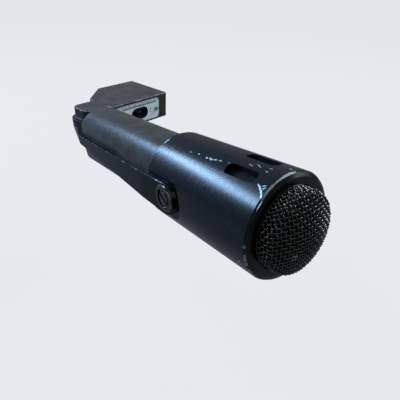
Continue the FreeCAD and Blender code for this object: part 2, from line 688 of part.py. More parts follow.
def neck():
    """Leaf over the swivel, flush with the box's top, with a rounded end."""
    back = SWIVEL_X - NECK_HALF
    side = SWIVEL_X + NECK_HALF
    end = SWIVEL_Y - NECK_PAST
    outline = [V(BACK + CORNER_CUT_X, LEFT, LEAF_LOW), V(back, LEFT - NECK_STEP, LEAF_LOW),
               V(back, end, LEAF_LOW), V(side, end, LEAF_LOW), V(side + NECK_FLARE, LEFT, LEAF_LOW),
               V(0, LEFT + NECK_ROOT, LEAF_LOW)]
    leaf = prism(outline, AXIS_Z * LEAF_THICK)
    middle = LEAF_LOW + LEAF_THICK / 2
    corners = edges_where(leaf, lambda m: m.y < end + FIT and abs(m.z - middle) < FIT)
    return leaf.makeFillet(NECK_END_R, corners)


def base_shell():
    """Box with its neck, hollow from below, with posts for the screws and openings in its walls."""
    shell = prism(base_outline(0), AXIS_Z * BASE_Z).fuse(neck()).removeSplitter()
    uprights = edges_where(shell, lambda m: abs(m.z - BASE_Z / 2) < FIT and m.y > LEFT - FIT)
    shell = shell.makeFillet(BASE_CORNER, uprights)
    shell = shell.makeFillet(BASE_EDGE, edges_where(shell, lambda m: m.z > BASE_Z - FIT))
    hollow = prism(base_outline(BASE_WALL), AXIS_Z * CEILING)
    shell = shell.cut(hollow).cut(plate_slab(0, PLATE_BACK, FRONT + OVER))
    for at in post_places():
        shell = shell.fuse(rod(POST_R, COVER_PLATE + FIT, CEILING, AXIS_Z, at))
    for at in board_places():
        shell = shell.fuse(rod(BOARD_POST_R, CEILING - BOARD_DROP, CEILING, AXIS_Z, at))
    for at in plate_screw_places():
        shell = shell.fuse(rod(PLATE_POST_R, PLATE_BACK - PLATE_POST, PLATE_BACK, AXIS_X, at))
    depth, length, width = [size + 2 * SWITCH_ROOM for size in SWITCH_BODY]
    swivel_top = LEAF_LOW + SWIVEL_THREAD + SWIVEL_HOLE_PAST
    holes = [block((2 * depth, length, width), (FRONT, SWITCH_Y, SWITCH_Z)),
             rod(SOCKET_THREAD_R + FIT, BACK - OVER, BACK + BASE_WALL + OVER, AXIS_X, SOCKET_AT),
             rod(SWIVEL_THREAD_R + FIT, 0, swivel_top, AXIS_Z, SWIVEL_AT)]
    holes += [rod(SCREW_R + FIT, 0, SCREW_LENGTH + 2 * OVER, AXIS_Z, at) for at in post_places()]
    holes += [rod(SCREW_R + FIT, 0, CEILING - HOLE_END, AXIS_Z, at) for at in board_places()]
    holes += [rod(PLATE_SCREW_R + FIT, FRONT - PLATE_HOLE, FRONT + OVER, AXIS_X, at)
              for at in plate_screw_places()]
    return cut_by(shell, holes)


def bottom_cover():
    plate = prism(base_outline(BASE_WALL + FIT), AXIS_Z * COVER_PLATE)
    holes = [rod(STAND_BODY_R + FIT, -OVER, COVER_PLATE + OVER, AXIS_Z)]
    wide, narrow = SCREW_HEAD_R + HOLE_PLAY, SCREW_R + HOLE_PLAY
    for at in post_places():
        holes.append(Part.makeCone(wide, narrow, SCREW_SINK + FIT, at, AXIS_Z))
        holes.append(rod(narrow, -OVER, COVER_PLATE + OVER, AXIS_Z, at))
    return cut_by(plate, holes)


def cover_screws():
    screws = []
    for at in post_places():
        head = Part.makeCone(SCREW_HEAD_R, SCREW_R, SCREW_SINK, at + AXIS_Z * FIT, AXIS_Z)
        drive = block((2 * SCREW_HEAD_R + OVER, DRIVE_WIDTH, 2 * DRIVE_DEPTH), at)
        screws.append(head.fuse(rod(SCREW_R, SCREW_SINK, SCREW_LENGTH, AXIS_Z, at)).cut(drive))
    return Part.makeCompound(screws)


# Face plate and switch


def face_plate():
    plate = plate_slab(FIT, PLATE_BACK + FIT, PLATE_FACE)
    length, width = SURROUND
    holes = [oval(length + 2 * FIT, width + 2 * FIT, PLATE_BACK - OVER, PLATE_FACE + OVER)]
    for at in plate_screw_places():
        holes.append(rod(PLATE_SCREW_R + HOLE_PLAY, PLATE_BACK - OVER, PLATE_FACE + OVER, AXIS_X, at))
    return cut_by(plate, holes)


def plate_screws():
    screws = []
    top = PLATE_FACE + PLATE_HEAD
    for at in plate_screw_places():
        head = rod(PLATE_SCREW_HEAD_R, PLATE_FACE + FIT, top, AXIS_X, at)
        head = head.makeFillet(PLATE_HEAD / 2, edges_where(head, lambda m: m.x > top - FIT))
        slot = block((PLATE_HEAD, DRIVE_WIDTH, 3 * PLATE_SCREW_HEAD_R), (top, at.y, at.z))
        shank = rod(PLATE_SCREW_R, FRONT - PLATE_HOLE + FIT, PLATE_FACE + PLATE_HEAD / 2, AXIS_X, at)
        screws.append(head.fuse(shank).cut(slot))
    return Part.makeCompound(screws)


def switch_surround():
    """Oval surround with a flange behind the plate and a slot for the knob."""
    length, width = SURROUND
    ring = oval(length, width, SURROUND_BACK, SURROUND_FACE)
    flange = oval(length + 2 * FLANGE_ENDS, width + 2 * FLANGE_SIDES, SURROUND_BACK, PLATE_BACK - FIT)
    slot = rounded_slab(length - 2 * SURROUND_RIM, width - 2 * SURROUND_RIM, SLOT_CORNER,
                        SURROUND_BACK - OVER, SURROUND_FACE + OVER, SWITCH_Y, SWITCH_Z)
    return ring.fuse(flange).cut(slot)


def switch_knob():
    """Ribbed knob at the switch's rest end, nearer the swivel, with a foot in the switch."""
    y = SWITCH_Y - SWITCH_TRAVEL / 2
    front = SURROUND_FACE + KNOB_PROUD
    rear = PLATE_BACK - KNOB_SUNK
    length, width = KNOB
    knob = block((front - rear, length, width), ((front + rear) / 2, y, SWITCH_Z))
    knob = knob.makeFillet(KNOB_EDGE, edges_where(knob, lambda m: m.x > front - FIT))
    grooves = [block((2 * GROOVE[0], GROOVE[1], width + OVER), (front, y + k * GROOVE_PITCH, SWITCH_Z))
               for k in (-1, 0, 1)]
    foot = block(KNOB_FOOT, (PLATE_BACK - KNOB_FOOT[0], y, SWITCH_Z))
    return cut_by(knob, grooves).fuse(foot)


def switch_body():
    front = SURROUND_BACK - FIT
    depth = SWITCH_BODY[0]
    body = block(SWITCH_BODY, (front - depth / 2, SWITCH_Y, SWITCH_Z))
    length = KNOB[0] + SWITCH_TRAVEL + TROUGH_PLAY
    width = KNOB_FOOT[2] + 2 * SWITCH_ROOM
    trough = block((2 * TROUGH_DEPTH, length, width), (front, SWITCH_Y, SWITCH_Z))
    tag_x = front - depth - SWITCH_TAG[0] / 2 + SWITCH_ROOM
    tags = [block(SWITCH_TAG, (tag_x, SWITCH_Y + k * TAG_PITCH, SWITCH_Z)) for k in (-1, 0, 1)]
    return body.cut(trough).fuse(tags)


# Stand thread, socket and terminal board


def stand_insert():
    insert = tube(STAND_BODY_R, STAND_R, 0, STAND_LENGTH, AXIS_Z)
    start = COVER_PLATE + FIT
    flange = tube(STAND_FLANGE_R, STAND_R, start, start + STAND_FLANGE, AXIS_Z)
    return insert.fuse(flange).removeSplitter()


def output_socket():
    start = BACK + BASE_WALL + FIT
    mouth = BACK - SOCKET_NUT_THICK - SOCKET_PAST_NUT
    thread = rod(SOCKET_THREAD_R, mouth, start + OVER, AXIS_X, SOCKET_AT)
    body = block(SOCKET_BODY, (start + SOCKET_BODY[0] / 2, SOCKET_Y, SOCKET_Z))
    bore = rod(SOCKET_BORE_R, mouth - OVER, start + SOCKET_BODY[0] - SOCKET_BOTTOM, AXIS_X, SOCKET_AT)
    return thread.fuse(body).cut(bore)


def socket_nut():
    start = BACK - SOCKET_NUT_THICK
    nut = hexagon(SOCKET_NUT_FLAT, start, BACK - FIT, SOCKET_AT)
    return nut.cut(rod(SOCKET_THREAD_R + FIT, start - OVER, BACK + OVER, AXIS_X, SOCKET_AT))


def terminal_board():
    board = block(BOARD, (BOARD_X, BOARD_Y, BOARD_TOP - BOARD[2] / 2))
    return cut_by(board, [rod(SCREW_R + 2 * HOLE_PLAY, 0, BASE_Z, AXIS_Z, at) for at in board_places()])


def terminal_tags():
    z = BOARD_LOW - TERMINAL[2] / 2 - FIT
    places = [(BOARD_X, BOARD_Y + k * TERMINAL_PITCH, z) for k in (-1, 0, 1)]
    return Part.makeCompound([block(TERMINAL, place) for place in places])


def board_screws():
    screws = []
    for at in board_places():
        head = rod(BOARD_HEAD_R, BOARD_LOW - BOARD_HEAD, BOARD_LOW - FIT, AXIS_Z, at)
        shank = rod(SCREW_R, BOARD_LOW - BOARD_HEAD / 2, BOARD_LOW + BOARD_SCREW, AXIS_Z, at)
        screws.append(head.fuse(shank))
    return Part.makeCompound(screws)


# Swivel


def swivel_washer():
    low = BOSS_TOP + FIT
    return tube(SWIVEL_WASHER_R, SWIVEL_R + HEAD_ROOM, low, low + SWIVEL_WASHER, AXIS_Z, SWIVEL_AT)


def spring_washer():
    high = POCKET_FLOOR - FIT
    outer, inner = SWIVEL_HEAD_R - HEAD_ROOM, SWIVEL_R + HOLE_PLAY
    return tube(outer, inner, high - SPRING_WASHER, high, AXIS_Z, SWIVEL_AT)


def swivel_screw():
    """Slotted shoulder screw from below, which clamps the yoke's boss to the neck."""
    top = POCKET_FLOOR - SPRING_WASHER - 2 * FIT
    low = top - SWIVEL_HEAD
    head = rod(SWIVEL_HEAD_R, low, top, AXIS_Z, SWIVEL_AT)
    width, depth = SWIVEL_SLOT
    slot = block((2 * SWIVEL_HEAD_R + OVER, width, 2 * depth), (SWIVEL_X, SWIVEL_Y, low))
    shoulder = rod(SWIVEL_R, top - FIT, LEAF_LOW - FIT, AXIS_Z, SWIVEL_AT)
    thread = rod(SWIVEL_THREAD_R, top, LEAF_LOW + SWIVEL_THREAD, AXIS_Z, SWIVEL_AT)
    return head.fuse([shoulder, thread]).cut(slot)


# Assembly


def on_swivel(solid):
    """Carry a solid from the microphone's frame to its rest place on the base."""
    turn = FreeCAD.Rotation(AXIS_Z, REST_YAW).multiply(FreeCAD.Rotation(AXIS_Y, -CANT))
    carry = FreeCAD.Placement(V(SWIVEL_X, SWIVEL_Y, AXIS_MID), turn)
    carry = carry.multiply(FreeCAD.Placement(V(BOSS_X, 0, 0), FreeCAD.Rotation()))
    moved = solid.copy()
    moved.Placement = carry.multiply(solid.Placement)
    return moved


def microphone_parts():
    """Pieces of the microphone and its yoke by name; left pieces lie at -Y."""
    makers = (grille_mesh, wind_foam, front_bezel, barrel_shell, port_screen, capsule_body,
              capsule_cover, joining_ring, transformer, transformer_cradle, tail_shell, tail_end_cap,
              lead_grommet, yoke)
    parts = {maker.__name__: maker() for maker in makers}
    parts["capsule_mount_front"] = capsule_mount(RIM - BEZEL_SEAT - 2 * FIT - RUBBER_LENGTH)
    parts["capsule_mount_rear"] = capsule_mount(PORT_START - FIT - RUBBER_LENGTH)
    for maker in (pivot_bush, pivot_washer, pivot_screw):
        right, left = on_both_sides(maker())
        parts[maker.__name__ + "_right"] = right
        parts[maker.__name__ + "_left"] = left
    return parts


def base_parts():
    """Pieces of the base by name."""
    makers = (base_shell, bottom_cover, cover_screws, face_plate, plate_screws, switch_surround,
              switch_knob, switch_body, stand_insert, output_socket, socket_nut, terminal_board,
              terminal_tags, board_screws, swivel_washer, spring_washer, swivel_screw)
    return {maker.__name__: maker() for maker in makers}


def main():
    os.makedirs("parts", exist_ok=True)
    parts = {name: on_swivel(solid) for name, solid in microphone_parts().items()}
    parts.update(base_parts())
    for name, solid in parts.items():
        solid.exportStep("parts/" + name + ".step")
        print(f"{name:22s} solids {len(solid.Solids)} valid {solid.isValid()} volume {solid.Volume:9.1f}")


main()
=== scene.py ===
"""A yoke microphone on a swivel base: finishes, woven grille, foam, plate marks, and a studio."""

import logging
from abc import ABC, abstractmethod
from dataclasses import dataclass, field
from enum import Enum
from math import cos, pi, radians, sin

import bmesh
import bpy
import numpy as np
from bpy.types import ID, Material, Object
from mathutils import Matrix, Vector


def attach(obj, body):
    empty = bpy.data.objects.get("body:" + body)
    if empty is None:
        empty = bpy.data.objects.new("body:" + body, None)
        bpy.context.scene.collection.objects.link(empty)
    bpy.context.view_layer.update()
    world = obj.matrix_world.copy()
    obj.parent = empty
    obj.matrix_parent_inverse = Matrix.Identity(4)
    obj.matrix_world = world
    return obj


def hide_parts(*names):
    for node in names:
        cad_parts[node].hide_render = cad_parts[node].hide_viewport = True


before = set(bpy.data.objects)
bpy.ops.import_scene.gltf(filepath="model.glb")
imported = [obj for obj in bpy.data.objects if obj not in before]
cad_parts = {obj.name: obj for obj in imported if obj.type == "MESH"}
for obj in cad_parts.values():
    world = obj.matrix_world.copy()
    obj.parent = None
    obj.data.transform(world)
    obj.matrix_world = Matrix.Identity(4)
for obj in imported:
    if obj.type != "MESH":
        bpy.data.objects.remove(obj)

log = logging.getLogger("yoke microphone")

MM = 0.001
Pair = tuple[float, float]
Triple = tuple[float, float, float]
Colour = Triple


# Shader sums and recipes


class Wire:
    """A shader socket that takes part in sums: every operator adds one Math node."""

    def __init__(self, recipe: "Recipe", socket: bpy.types.NodeSocket) -> None:
        """Keeps the socket and the recipe that it belongs to."""
        self.recipe, self.socket = recipe, socket

    def sum(self, operation: str, first: "Feed", second: "Feed" = 0.0) -> "Wire":
        """Adds one Math node."""
        return self.recipe.node("ShaderNodeMath", {"operation": operation}, {0: first, 1: second})

    def __add__(self, other: "Feed") -> "Wire":
        """This plus the other."""
        return self.sum("ADD", self, other)

    def __radd__(self, other: float) -> "Wire":
        """A number plus this."""
        return self.sum("ADD", other, self)

    def __sub__(self, other: "Feed") -> "Wire":
        """This less the other."""
        return self.sum("SUBTRACT", self, other)

    def __rsub__(self, other: float) -> "Wire":
        """A number less this."""
        return self.sum("SUBTRACT", other, self)

    def __mul__(self, other: "Feed") -> "Wire":
        """This times the other."""
        return self.sum("MULTIPLY", self, other)

    def __rmul__(self, other: float) -> "Wire":
        """A number times this."""
        return self.sum("MULTIPLY", other, self)

    def most(self, other: "Feed") -> "Wire":
        """The larger of this and the other."""
        return self.sum("MAXIMUM", self, other)

    def size(self) -> "Wire":
        """This without its sign."""
        return self.sum("ABSOLUTE", self)

    def root(self) -> "Wire":
        """The square root of this."""
        return self.sum("SQRT", self)

    def wave(self) -> "Wire":
        """The sine of this, in radians."""
        return self.sum("SINE", self)

    def centred(self) -> "Wire":
        """Noise less a half, so that it lies about 0."""
        return self - 0.5

    def rise(self, low: float, high: float) -> "Wire":
        """A smooth step from 0 at low to 1 at high; it falls instead where low is above high."""
        ends = {"From Min": min(low, high), "From Max": max(low, high),
                "To Min": float(low > high), "To Max": float(low < high)}
        return self.recipe.node("ShaderNodeMapRange", {"interpolation_type": "SMOOTHSTEP"},
                                {"Value": self, **ends})

    def part(self, name: str) -> "Wire":
        """Another output of the same node, by its name."""
        return Wire(self.recipe, self.socket.node.outputs[name])


Feed = float | tuple | Wire


@dataclass(frozen=True)
class Patches:
    """Soft random patches.

    scale is in cells per millimetre, detail is how many finer layers they have, and rough is how
    strong those are. ends are the levels between which a mask of them rises.
    """

    scale: float
    detail: float = 2.0
    rough: float = 0.5
    ends: Pair = (0.0, 1.0)


class Recipe:
    """One material, or the world, as it is put together from nodes."""

    def __init__(self, owner: Material | bpy.types.World) -> None:
        """Starts with no nodes in the owner's tree.

        Args:
            owner: the material or world.
        """
        self.owner = owner
        self.owner.use_nodes = True
        self.tree = self.owner.node_tree
        self.tree.nodes.clear()

    @staticmethod
    def named(name: str) -> "Recipe":
        """A recipe for a new material of that name."""
        return Recipe(bpy.data.materials.new(name))

    def node(self, kind: str, settings: dict[str, object] | None = None,
             feeds: dict[int | str, Feed] | None = None, out: int | str = 0) -> Wire:
        """Adds one node, with its settings first and then its sockets.

        Args:
            kind: the node's type.
            settings: its settings by name.
            feeds: a value or a link for each of its sockets, by name or number.
            out: the output to hand back.

        Returns:
            That output's socket.
        """
        made = self.tree.nodes.new(kind)
        for name, value in (settings or {}).items():
            setattr(made, name, value)
        for key, value in (feeds or {}).items():
            if isinstance(value, Wire):
                self.tree.links.new(value.socket, made.inputs[key])
            else:
                made.inputs[key].default_value = value
        return Wire(self, made.outputs[out]) if made.outputs else Wire(self, made.inputs[0])

    def place(self) -> Wire:
        """The piece's own coordinates, in millimetres of the row frame."""
        return SQUARE.coordinates(self)

    def split(self, vector: Wire) -> tuple[Wire, Wire, Wire]:
        """The three parts of a vector."""
        x = self.node("ShaderNodeSeparateXYZ", None, {0: vector})
        return x, x.part("Y"), x.part("Z")

    def join(self, x: Feed, y: Feed, z: Feed) -> Wire:
        """A vector of three numbers."""
        return self.node("ShaderNodeCombineXYZ", None, {0: x, 1: y, 2: z})

    def stretch(self, vector: Wire, by: Triple) -> Wire:
        """A vector with each part multiplied by its own number."""
        return self.vector("MULTIPLY", vector, by, 0)

    def vector(self, operation: str, first: Wire, second: Triple | None = None,
               out: int | str = "Value") -> Wire:
        """Adds one Vector Math node."""
        feeds = {0: first} if second is None else {0: first, 1: second}
        return self.node("ShaderNodeVectorMath", {"operation": operation}, feeds, out)

    def angle(self, up: Wire, across: Wire) -> Wire:
        """The angle of a place round an axis, in radians, from across towards up."""
        return self.node("ShaderNodeMath", {"operation": "ARCTAN2"}, {0: up, 1: across})

    def noise(self, vector: Wire, patches: Patches) -> Wire:
        """Soft noise from 0 to 1 about 0.5."""
        feeds = {"Scale": patches.scale, "Detail": patches.detail, "Roughness": patches.rough}
        return self.node("ShaderNodeTexNoise", None, {"Vector": vector, **feeds})

    def mask(self, vector: Wire, patches: Patches) -> Wire:
        """The noise as a mask, which rises between the patches' ends."""
        return self.noise(vector, patches).rise(*patches.ends)

    def cells(self, vector: Wire, scale: float) -> Wire:
        """Distance to the nearest of a field of scattered points, for pores and grains."""
        return self.node("ShaderNodeTexVoronoi", None, {"Vector": vector, "Scale": scale})

    def tint(self, share: Feed, first: Colour | Wire, second: Colour | Wire) -> Wire:
        """Goes from the first colour to the second with share."""
        a, b = (c if isinstance(c, Wire) else (*c, 1.0) for c in (first, second))
        return self.node("ShaderNodeMix", {"data_type": "RGBA"}, {0: share, 6: a, 7: b}, 2)

    def between(self, share: Wire, first: Feed, second: Feed) -> Wire:
        """Goes from the first number to the second with share."""
        return self.node("ShaderNodeMix", None, {0: share, 2: first, 3: second})

    def facing(self) -> Wire:
        """The surface's direction in the row frame, which turns with the piece."""
        return self.node("ShaderNodeTexCoord", None, None, "Normal")

    def bump(self, height: Wire, depth: float, strength: float = 1.0) -> Wire:
        """A surface raised by a height from 0 to 1, where 1 stands for depth in millimetres."""
        return self.node("ShaderNodeBump", None,
                         {"Strength": strength, "Distance": depth * MM, "Height": height})

    def surface(self, colour: Feed, rough: Feed, metal: Feed = 0.0, normal: Wire | None = None,
                sheen: float = 0.5) -> None:
        """Ends the recipe in one shader.

        Args:
            colour: its base colour.
            rough: its roughness.
            metal: how metallic it is.
            normal: its raised normal, if it has one.
            sheen: how strongly it mirrors where it isn't metal, the same all over.
        """
        feeds = {"Base Color": colour, "Roughness": rough, "Metallic": metal,
                 "Specular IOR Level": sheen}
        if normal is not None:
            feeds["Normal"] = normal
        shader = self.node("ShaderNodeBsdfPrincipled", None, feeds)
        self.node("ShaderNodeOutputMaterial", None, {0: shader})


@dataclass(frozen=True)
class Seat:
    """Where a sub-assembly's own frame sits in the row frame.

    Its own X is turned up by lift and then round by yaw, both in degrees. It starts at origin, in
    millimetres.
    """

    origin: Triple
    lift: float = 0.0
    yaw: float = 0.0

    def turn(self) -> np.ndarray:
        """The matrix from its own directions to the row frame's.

        Returns:
            A turn about Y by lift and then about Z by yaw.
        """
        lift, yaw = radians(self.lift), radians(self.yaw)
        raised = np.array([[cos(lift), 0, -sin(lift)], [0, 1, 0], [sin(lift), 0, cos(lift)]])
        turned_round = np.array([[cos(yaw), -sin(yaw), 0], [sin(yaw), cos(yaw), 0], [0, 0, 1]])
        return turned_round @ raised

    def out(self, points: np.ndarray) -> np.ndarray:
        """Its own points in millimetres as row points in metres."""
        return (points @ self.turn().T + np.array(self.origin)) * MM

    def coordinates(self, recipe: Recipe) -> Wire:
        """The piece's coordinates in this frame.

        Args:
            recipe: the material.

        Returns:
            The coordinates, in millimetres.
        """
        own = recipe.node("ShaderNodeTexCoord", None, None, "Object")
        feeds = {"Vector": own, "Location": tuple(v * MM for v in self.origin),
                 "Rotation": (0.0, -radians(self.lift), radians(self.yaw)), "Scale": (MM, MM, MM)}
        return recipe.node("ShaderNodeMapping", {"vector_type": "TEXTURE"}, feeds)


SQUARE = Seat((0.0, 0.0, 0.0))
TILT = Seat((166.61013, -84.01076, 30.88069), 9.2, -13.45)


# Finishes


def tinged(colour: Colour, times: float, more: float = 0.0) -> Colour:
    """A colour with each part multiplied and then raised."""
    return tuple(v * times + more for v in colour)


@dataclass(frozen=True)
class Finish(ABC):
    """One finish, known by its name. Its colours are linear, and its depths are in millimetres.

    sheen is how strongly it mirrors, shows is how much of its raised surface shows, and a swing is
    how far noise changes its roughness.
    """

    name: str

    def mix(self) -> Material:
        """The finish as a material.

        Returns:
            The new material.
        """
        recipe = Recipe.named(self.name)
        self.cover(recipe)
        return recipe.owner

    @abstractmethod
    def cover(self, recipe: Recipe) -> None:
        """Puts the finish's own nodes into its material."""


@dataclass(frozen=True)
class Paint(Finish):
    """Sprayed paint: fine peel, uneven sheen, faint dust, and bare metal on rounded edges.

    rub_and_glint is the share of bare metal on rounded top and bottom edges: paint rubbed through,
    and on the base and the pivot screws partly a painted highlight along the edge. up is the
    direction whose slanting normals mark them, and spread is between which levels of noise they go
    from whole to bare. A lift is what a colour is multiplied by and then raised by.
    """

    colour: Colour
    rough: float
    sheen: float = 0.35
    peel: float = 0.012
    dust: float = 0.10
    rub_and_glint: float = 0.0
    up: Triple = (0.0, 0.0, 1.0)
    bare: Colour = (0.30, 0.31, 0.32)
    spread: Pair = (0.46, 0.66)
    off_flat: Pair = (0.22, 0.5)
    off_upright: Pair = (0.985, 0.90)
    rubbed: Patches = Patches(0.22, 4.0, 0.62)
    bare_metal: float = 0.8
    clouds: Patches = Patches(0.09, 4.0, 0.6, (0.30, 0.70))
    darkest: float = 0.82
    dust_lift: Pair = (2.4, 0.01)
    specks: Patches = Patches(1.3, 3.0, 0.7, (0.66, 0.72))
    speck_share: float = 2.0
    speck_lift: Pair = (2.2, 0.01)
    uneven: Patches = Patches(0.35, 3.0)
    swing: float = 0.09
    grain: Patches = Patches(2.4)
    shows: float = 0.7

    def edges(self, recipe: Recipe, spot: Wire) -> Wire:
        """Bare edges, where the surface leans between flat and upright, broken by noise: paint
        rubbed through, and on the base and the pivot screws partly a painted highlight.

        Args:
            recipe: the material.
            spot: coordinates in millimetres.

        Returns:
            The share of bare metal.
        """
        lean = recipe.vector("DOT_PRODUCT", recipe.facing(), self.up).size()
        slant = lean.rise(*self.off_flat) * lean.rise(*self.off_upright)
        return slant * recipe.noise(spot, self.rubbed).rise(*self.spread) * self.rub_and_glint

    def cover(self, recipe: Recipe) -> None:
        """Dark and dusty clouds, pale specks, and the bare edges over both, which on the base and
        the pivot screws are partly a painted highlight.

        Args:
            recipe: its material.
        """
        spot = recipe.place()
        times, more = (part * self.dust for part in self.dust_lift)
        dusty = tinged(self.colour, 1.0 + times, more)
        clouds = recipe.mask(spot, self.clouds)
        colour = recipe.tint(clouds, tinged(self.colour, self.darkest), dusty)
        specks = recipe.mask(spot, self.specks) * self.dust * self.speck_share
        colour = recipe.tint(specks, colour, tinged(self.colour, *self.speck_lift))
        rough = recipe.between(recipe.noise(spot, self.uneven),
                               self.rough - self.swing, self.rough + self.swing)
        metal = 0.0
        # Bare edges: paint rubbed through, and on the base and the pivot screws partly a painted
        # highlight along the edge.
        if self.rub_and_glint:
            bare = self.edges(recipe, spot)
            colour = recipe.tint(bare, colour, self.bare)
            metal = bare * self.bare_metal
        raised = recipe.bump(recipe.noise(spot, self.grain), self.peel, self.shows)
        recipe.surface(colour, rough, metal, raised, self.sheen)


@dataclass(frozen=True)
class BareSpot:
    """One place where the barrel shows bare metal: an oval on the unrolled barrel.

    along is from the tilt axis to the front in millimetres, and turn is degrees round from +Y
    towards +Z. half_along and half_round are its half sizes, and lean turns it on the surface.
    """

    along: float
    turn: float
    half_along: float
    half_round: float
    lean: float = 0.0


@dataclass(frozen=True)
class BarrelPaint(Finish):
    """The barrel's satin black: fine streaks round it, bare spots, and bare bands along its two
    rims.

    Each rim's bare band lies between two distances from its end, by rim_most less rim_whole; at the
    rear it is paint rubbed through, and at the front partly that and partly a painted highlight
    along the chamfer. bare_ends and primer_ends are the levels at which metal and primer show.
    swings are the streaks' and the mottle's, and heights are the peel's, the streaks' and the
    film's as shares of film.
    """

    name: str = "barrel_satin_black"
    colour: Colour = (0.0032, 0.0052, 0.0078)
    bare: Colour = (0.27, 0.31, 0.36)
    primer: Colour = (0.20, 0.22, 0.24)
    rough: float = 0.27
    sheen: float = 0.23
    radius: float = 24.0
    front: float = 56.0
    rear: float = -18.2
    bare_spots: tuple[BareSpot, ...] = tuple(BareSpot(*sizes) for sizes in (
        (50.9, 121.2, 1.2, 0.34, 38.0), (52.3, 123.2, 1.4, 0.40, 42.0),
        (53.8, 126.0, 1.2, 0.46, 50.0), (53.0, 119.4, 0.8, 0.28, -35.0),
        (53.7, 122.0, 0.9, 0.30, -50.0), (55.0, 129.5, 0.9, 0.5, 60.0),
        (39.2, 102.3, 1.3, 0.30, 8.0), (42.6, 99.2, 1.9, 0.26, 24.0),
        (48.0, 97.0, 0.9, 0.24, 6.0), (48.2, 103.2, 0.65, 0.34), (53.3, 84.5, 0.8, 0.4),
        (4.9, 115.8, 0.6, 0.32), (10.4, 114.2, 0.7, 0.36), (16.6, 115.0, 0.9, 0.45, 20.0),
        (19.3, 114.4, 1.5, 0.6, 10.0), (21.8, 113.2, 1.1, 0.5, -15.0), (24.6, 112.0, 0.9, 0.4),
        # The two long narrow spots at 55.7 mm on the front rim's edge are partly chipped paint and
        # partly a painted highlight along the chamfer.
        (29.6, 110.5, 0.5, 0.28), (-17.3, 114.0, 0.6, 2.2), (55.7, 98.0, 0.32, 6.5),
        (55.7, 121.0, 0.30, 5.0), (22.0, 236.0, 1.0, 0.5, 30.0), (51.5, 201.0, 1.0, 0.45, -30.0),
        (2.0, 300.0, 0.7, 0.9),
    ))
    # The front rim's bare band is partly paint rubbed through and partly a painted highlight along
    # the chamfer.
    front_rim: Pair = (0.9, 0.5)
    rear_rim: Pair = (0.5, 0.15)
    rim_patches: Patches = Patches(0.11, 3.0, 0.6, (0.47, 0.62))
    rim_most: float = 0.7
    rim_whole: float = 0.3
    ragged: Patches = Patches(0.9, 4.0, 0.65)
    bare_ends: Pair = (0.02, 0.16)
    primer_ends: Pair = (-0.14, 0.04)
    primer_share: float = 0.5
    streaks: Patches = Patches(1.1, 3.0, 0.6)
    streak_stretch: Triple = (1.0, 0.10, 1.0)
    mottle: Patches = Patches(0.55, 3.0, 0.6, (0.35, 0.75))
    palest: float = 1.7
    swings: Pair = (0.14, 0.12)
    peel: Patches = Patches(2.2)
    heights: Triple = (0.015, 0.05, 0.8)
    film: float = 0.06
    shows: float = 0.8
    bare_rough: float = 0.5
    bare_metal: float = 0.85

    def away(self, recipe: Recipe, unrolled: Wire, bare_spot: BareSpot) -> Wire:
        """How far a place is from a bare spot's middle, in the spot's own half sizes.

        Args:
            recipe: the material.
            unrolled: the place on the unrolled barrel, in millimetres.
            bare_spot: the bare spot.

        Returns:
            The distance, 1 on the oval's edge.
        """
        round_it = radians(bare_spot.turn if bare_spot.turn <= 180.0 else bare_spot.turn - 360.0) * self.radius
        feeds = {"Vector": unrolled, "Location": (bare_spot.along, round_it, 0.0),
                 "Rotation": (0.0, 0.0, radians(bare_spot.lean)),
                 "Scale": (bare_spot.half_along, bare_spot.half_round, 1.0)}
        inside = recipe.node("ShaderNodeMapping", {"vector_type": "TEXTURE"}, feeds)
        return recipe.vector("LENGTH", inside)

    def wear_and_glint(self, recipe: Recipe, unrolled: Wire, along: Wire, ragged: Wire) -> Wire:
        """All bare metal, with the front rim's painted highlight: 1 less the distance to the
        nearest bare spot, and both rims, with ragged edges.

        Args:
            recipe: the material.
            unrolled: the place on the unrolled barrel.
            along: the first part of it.
            ragged: noise about 0.

        Returns:
            A level that is above 0 on bare metal.
        """
        near = None
        for bare_spot in self.bare_spots:
            reach = 1.0 - self.away(recipe, unrolled, bare_spot)
            near = reach if near is None else near.most(reach)
        at_front = along.rise(*(self.front - part for part in self.front_rim))
        at_rear = along.rise(*(self.rear + part for part in self.rear_rim))
        rims = at_front.most(at_rear) * recipe.mask(unrolled, self.rim_patches)
        return near.most(rims * self.rim_most - self.rim_whole) + ragged

    def cover(self, recipe: Recipe) -> None:
        """Mottled black with streaks in its gloss, primer round each bare place, and bare metal
        that along the front rim is partly a painted highlight.

        Args:
            recipe: its material.
        """
        own = TILT.coordinates(recipe)
        x, y, z = recipe.split(own)
        unrolled = recipe.join(x, recipe.angle(z, y) * self.radius, 0.0)
        streaks = recipe.noise(recipe.stretch(unrolled, self.streak_stretch), self.streaks)
        mottle = recipe.noise(unrolled, self.mottle)
        wear_and_glint = self.wear_and_glint(recipe, unrolled, x, recipe.noise(own, self.ragged).centred())
        # The bare share is bare metal, and along the front rim partly a painted highlight; primer
        # shows round it.
        bare_and_glint, round_bare_and_glint = wear_and_glint.rise(*self.bare_ends), wear_and_glint.rise(*self.primer_ends)
        pale = tinged(self.colour, self.palest)
        colour = recipe.tint(mottle.rise(*self.mottle.ends), self.colour, pale)
        colour = recipe.tint(round_bare_and_glint * self.primer_share, colour, self.primer)
        colour = recipe.tint(bare_and_glint, colour, self.bare)
        by_streak, by_mottle = self.swings
        rough = streaks.centred() * by_streak + mottle.centred() * by_mottle + self.rough
        peel, streak, film = self.heights
        height = recipe.noise(own, self.peel) * peel + streaks * streak + (1.0 - bare_and_glint) * film
        raised = recipe.bump(height, self.film, self.shows)
        recipe.surface(colour, recipe.between(bare_and_glint, rough, self.bare_rough),
                       bare_and_glint * self.bare_metal, raised, self.sheen)


class Lay(Enum):
    """The direction in which a tool left its fine lines."""

    ROUND_MICROPHONE = "round the microphone's length"
    ROUND_UPRIGHT = "round the base's upright"
    ALONG_PLATE = "along the face plate"


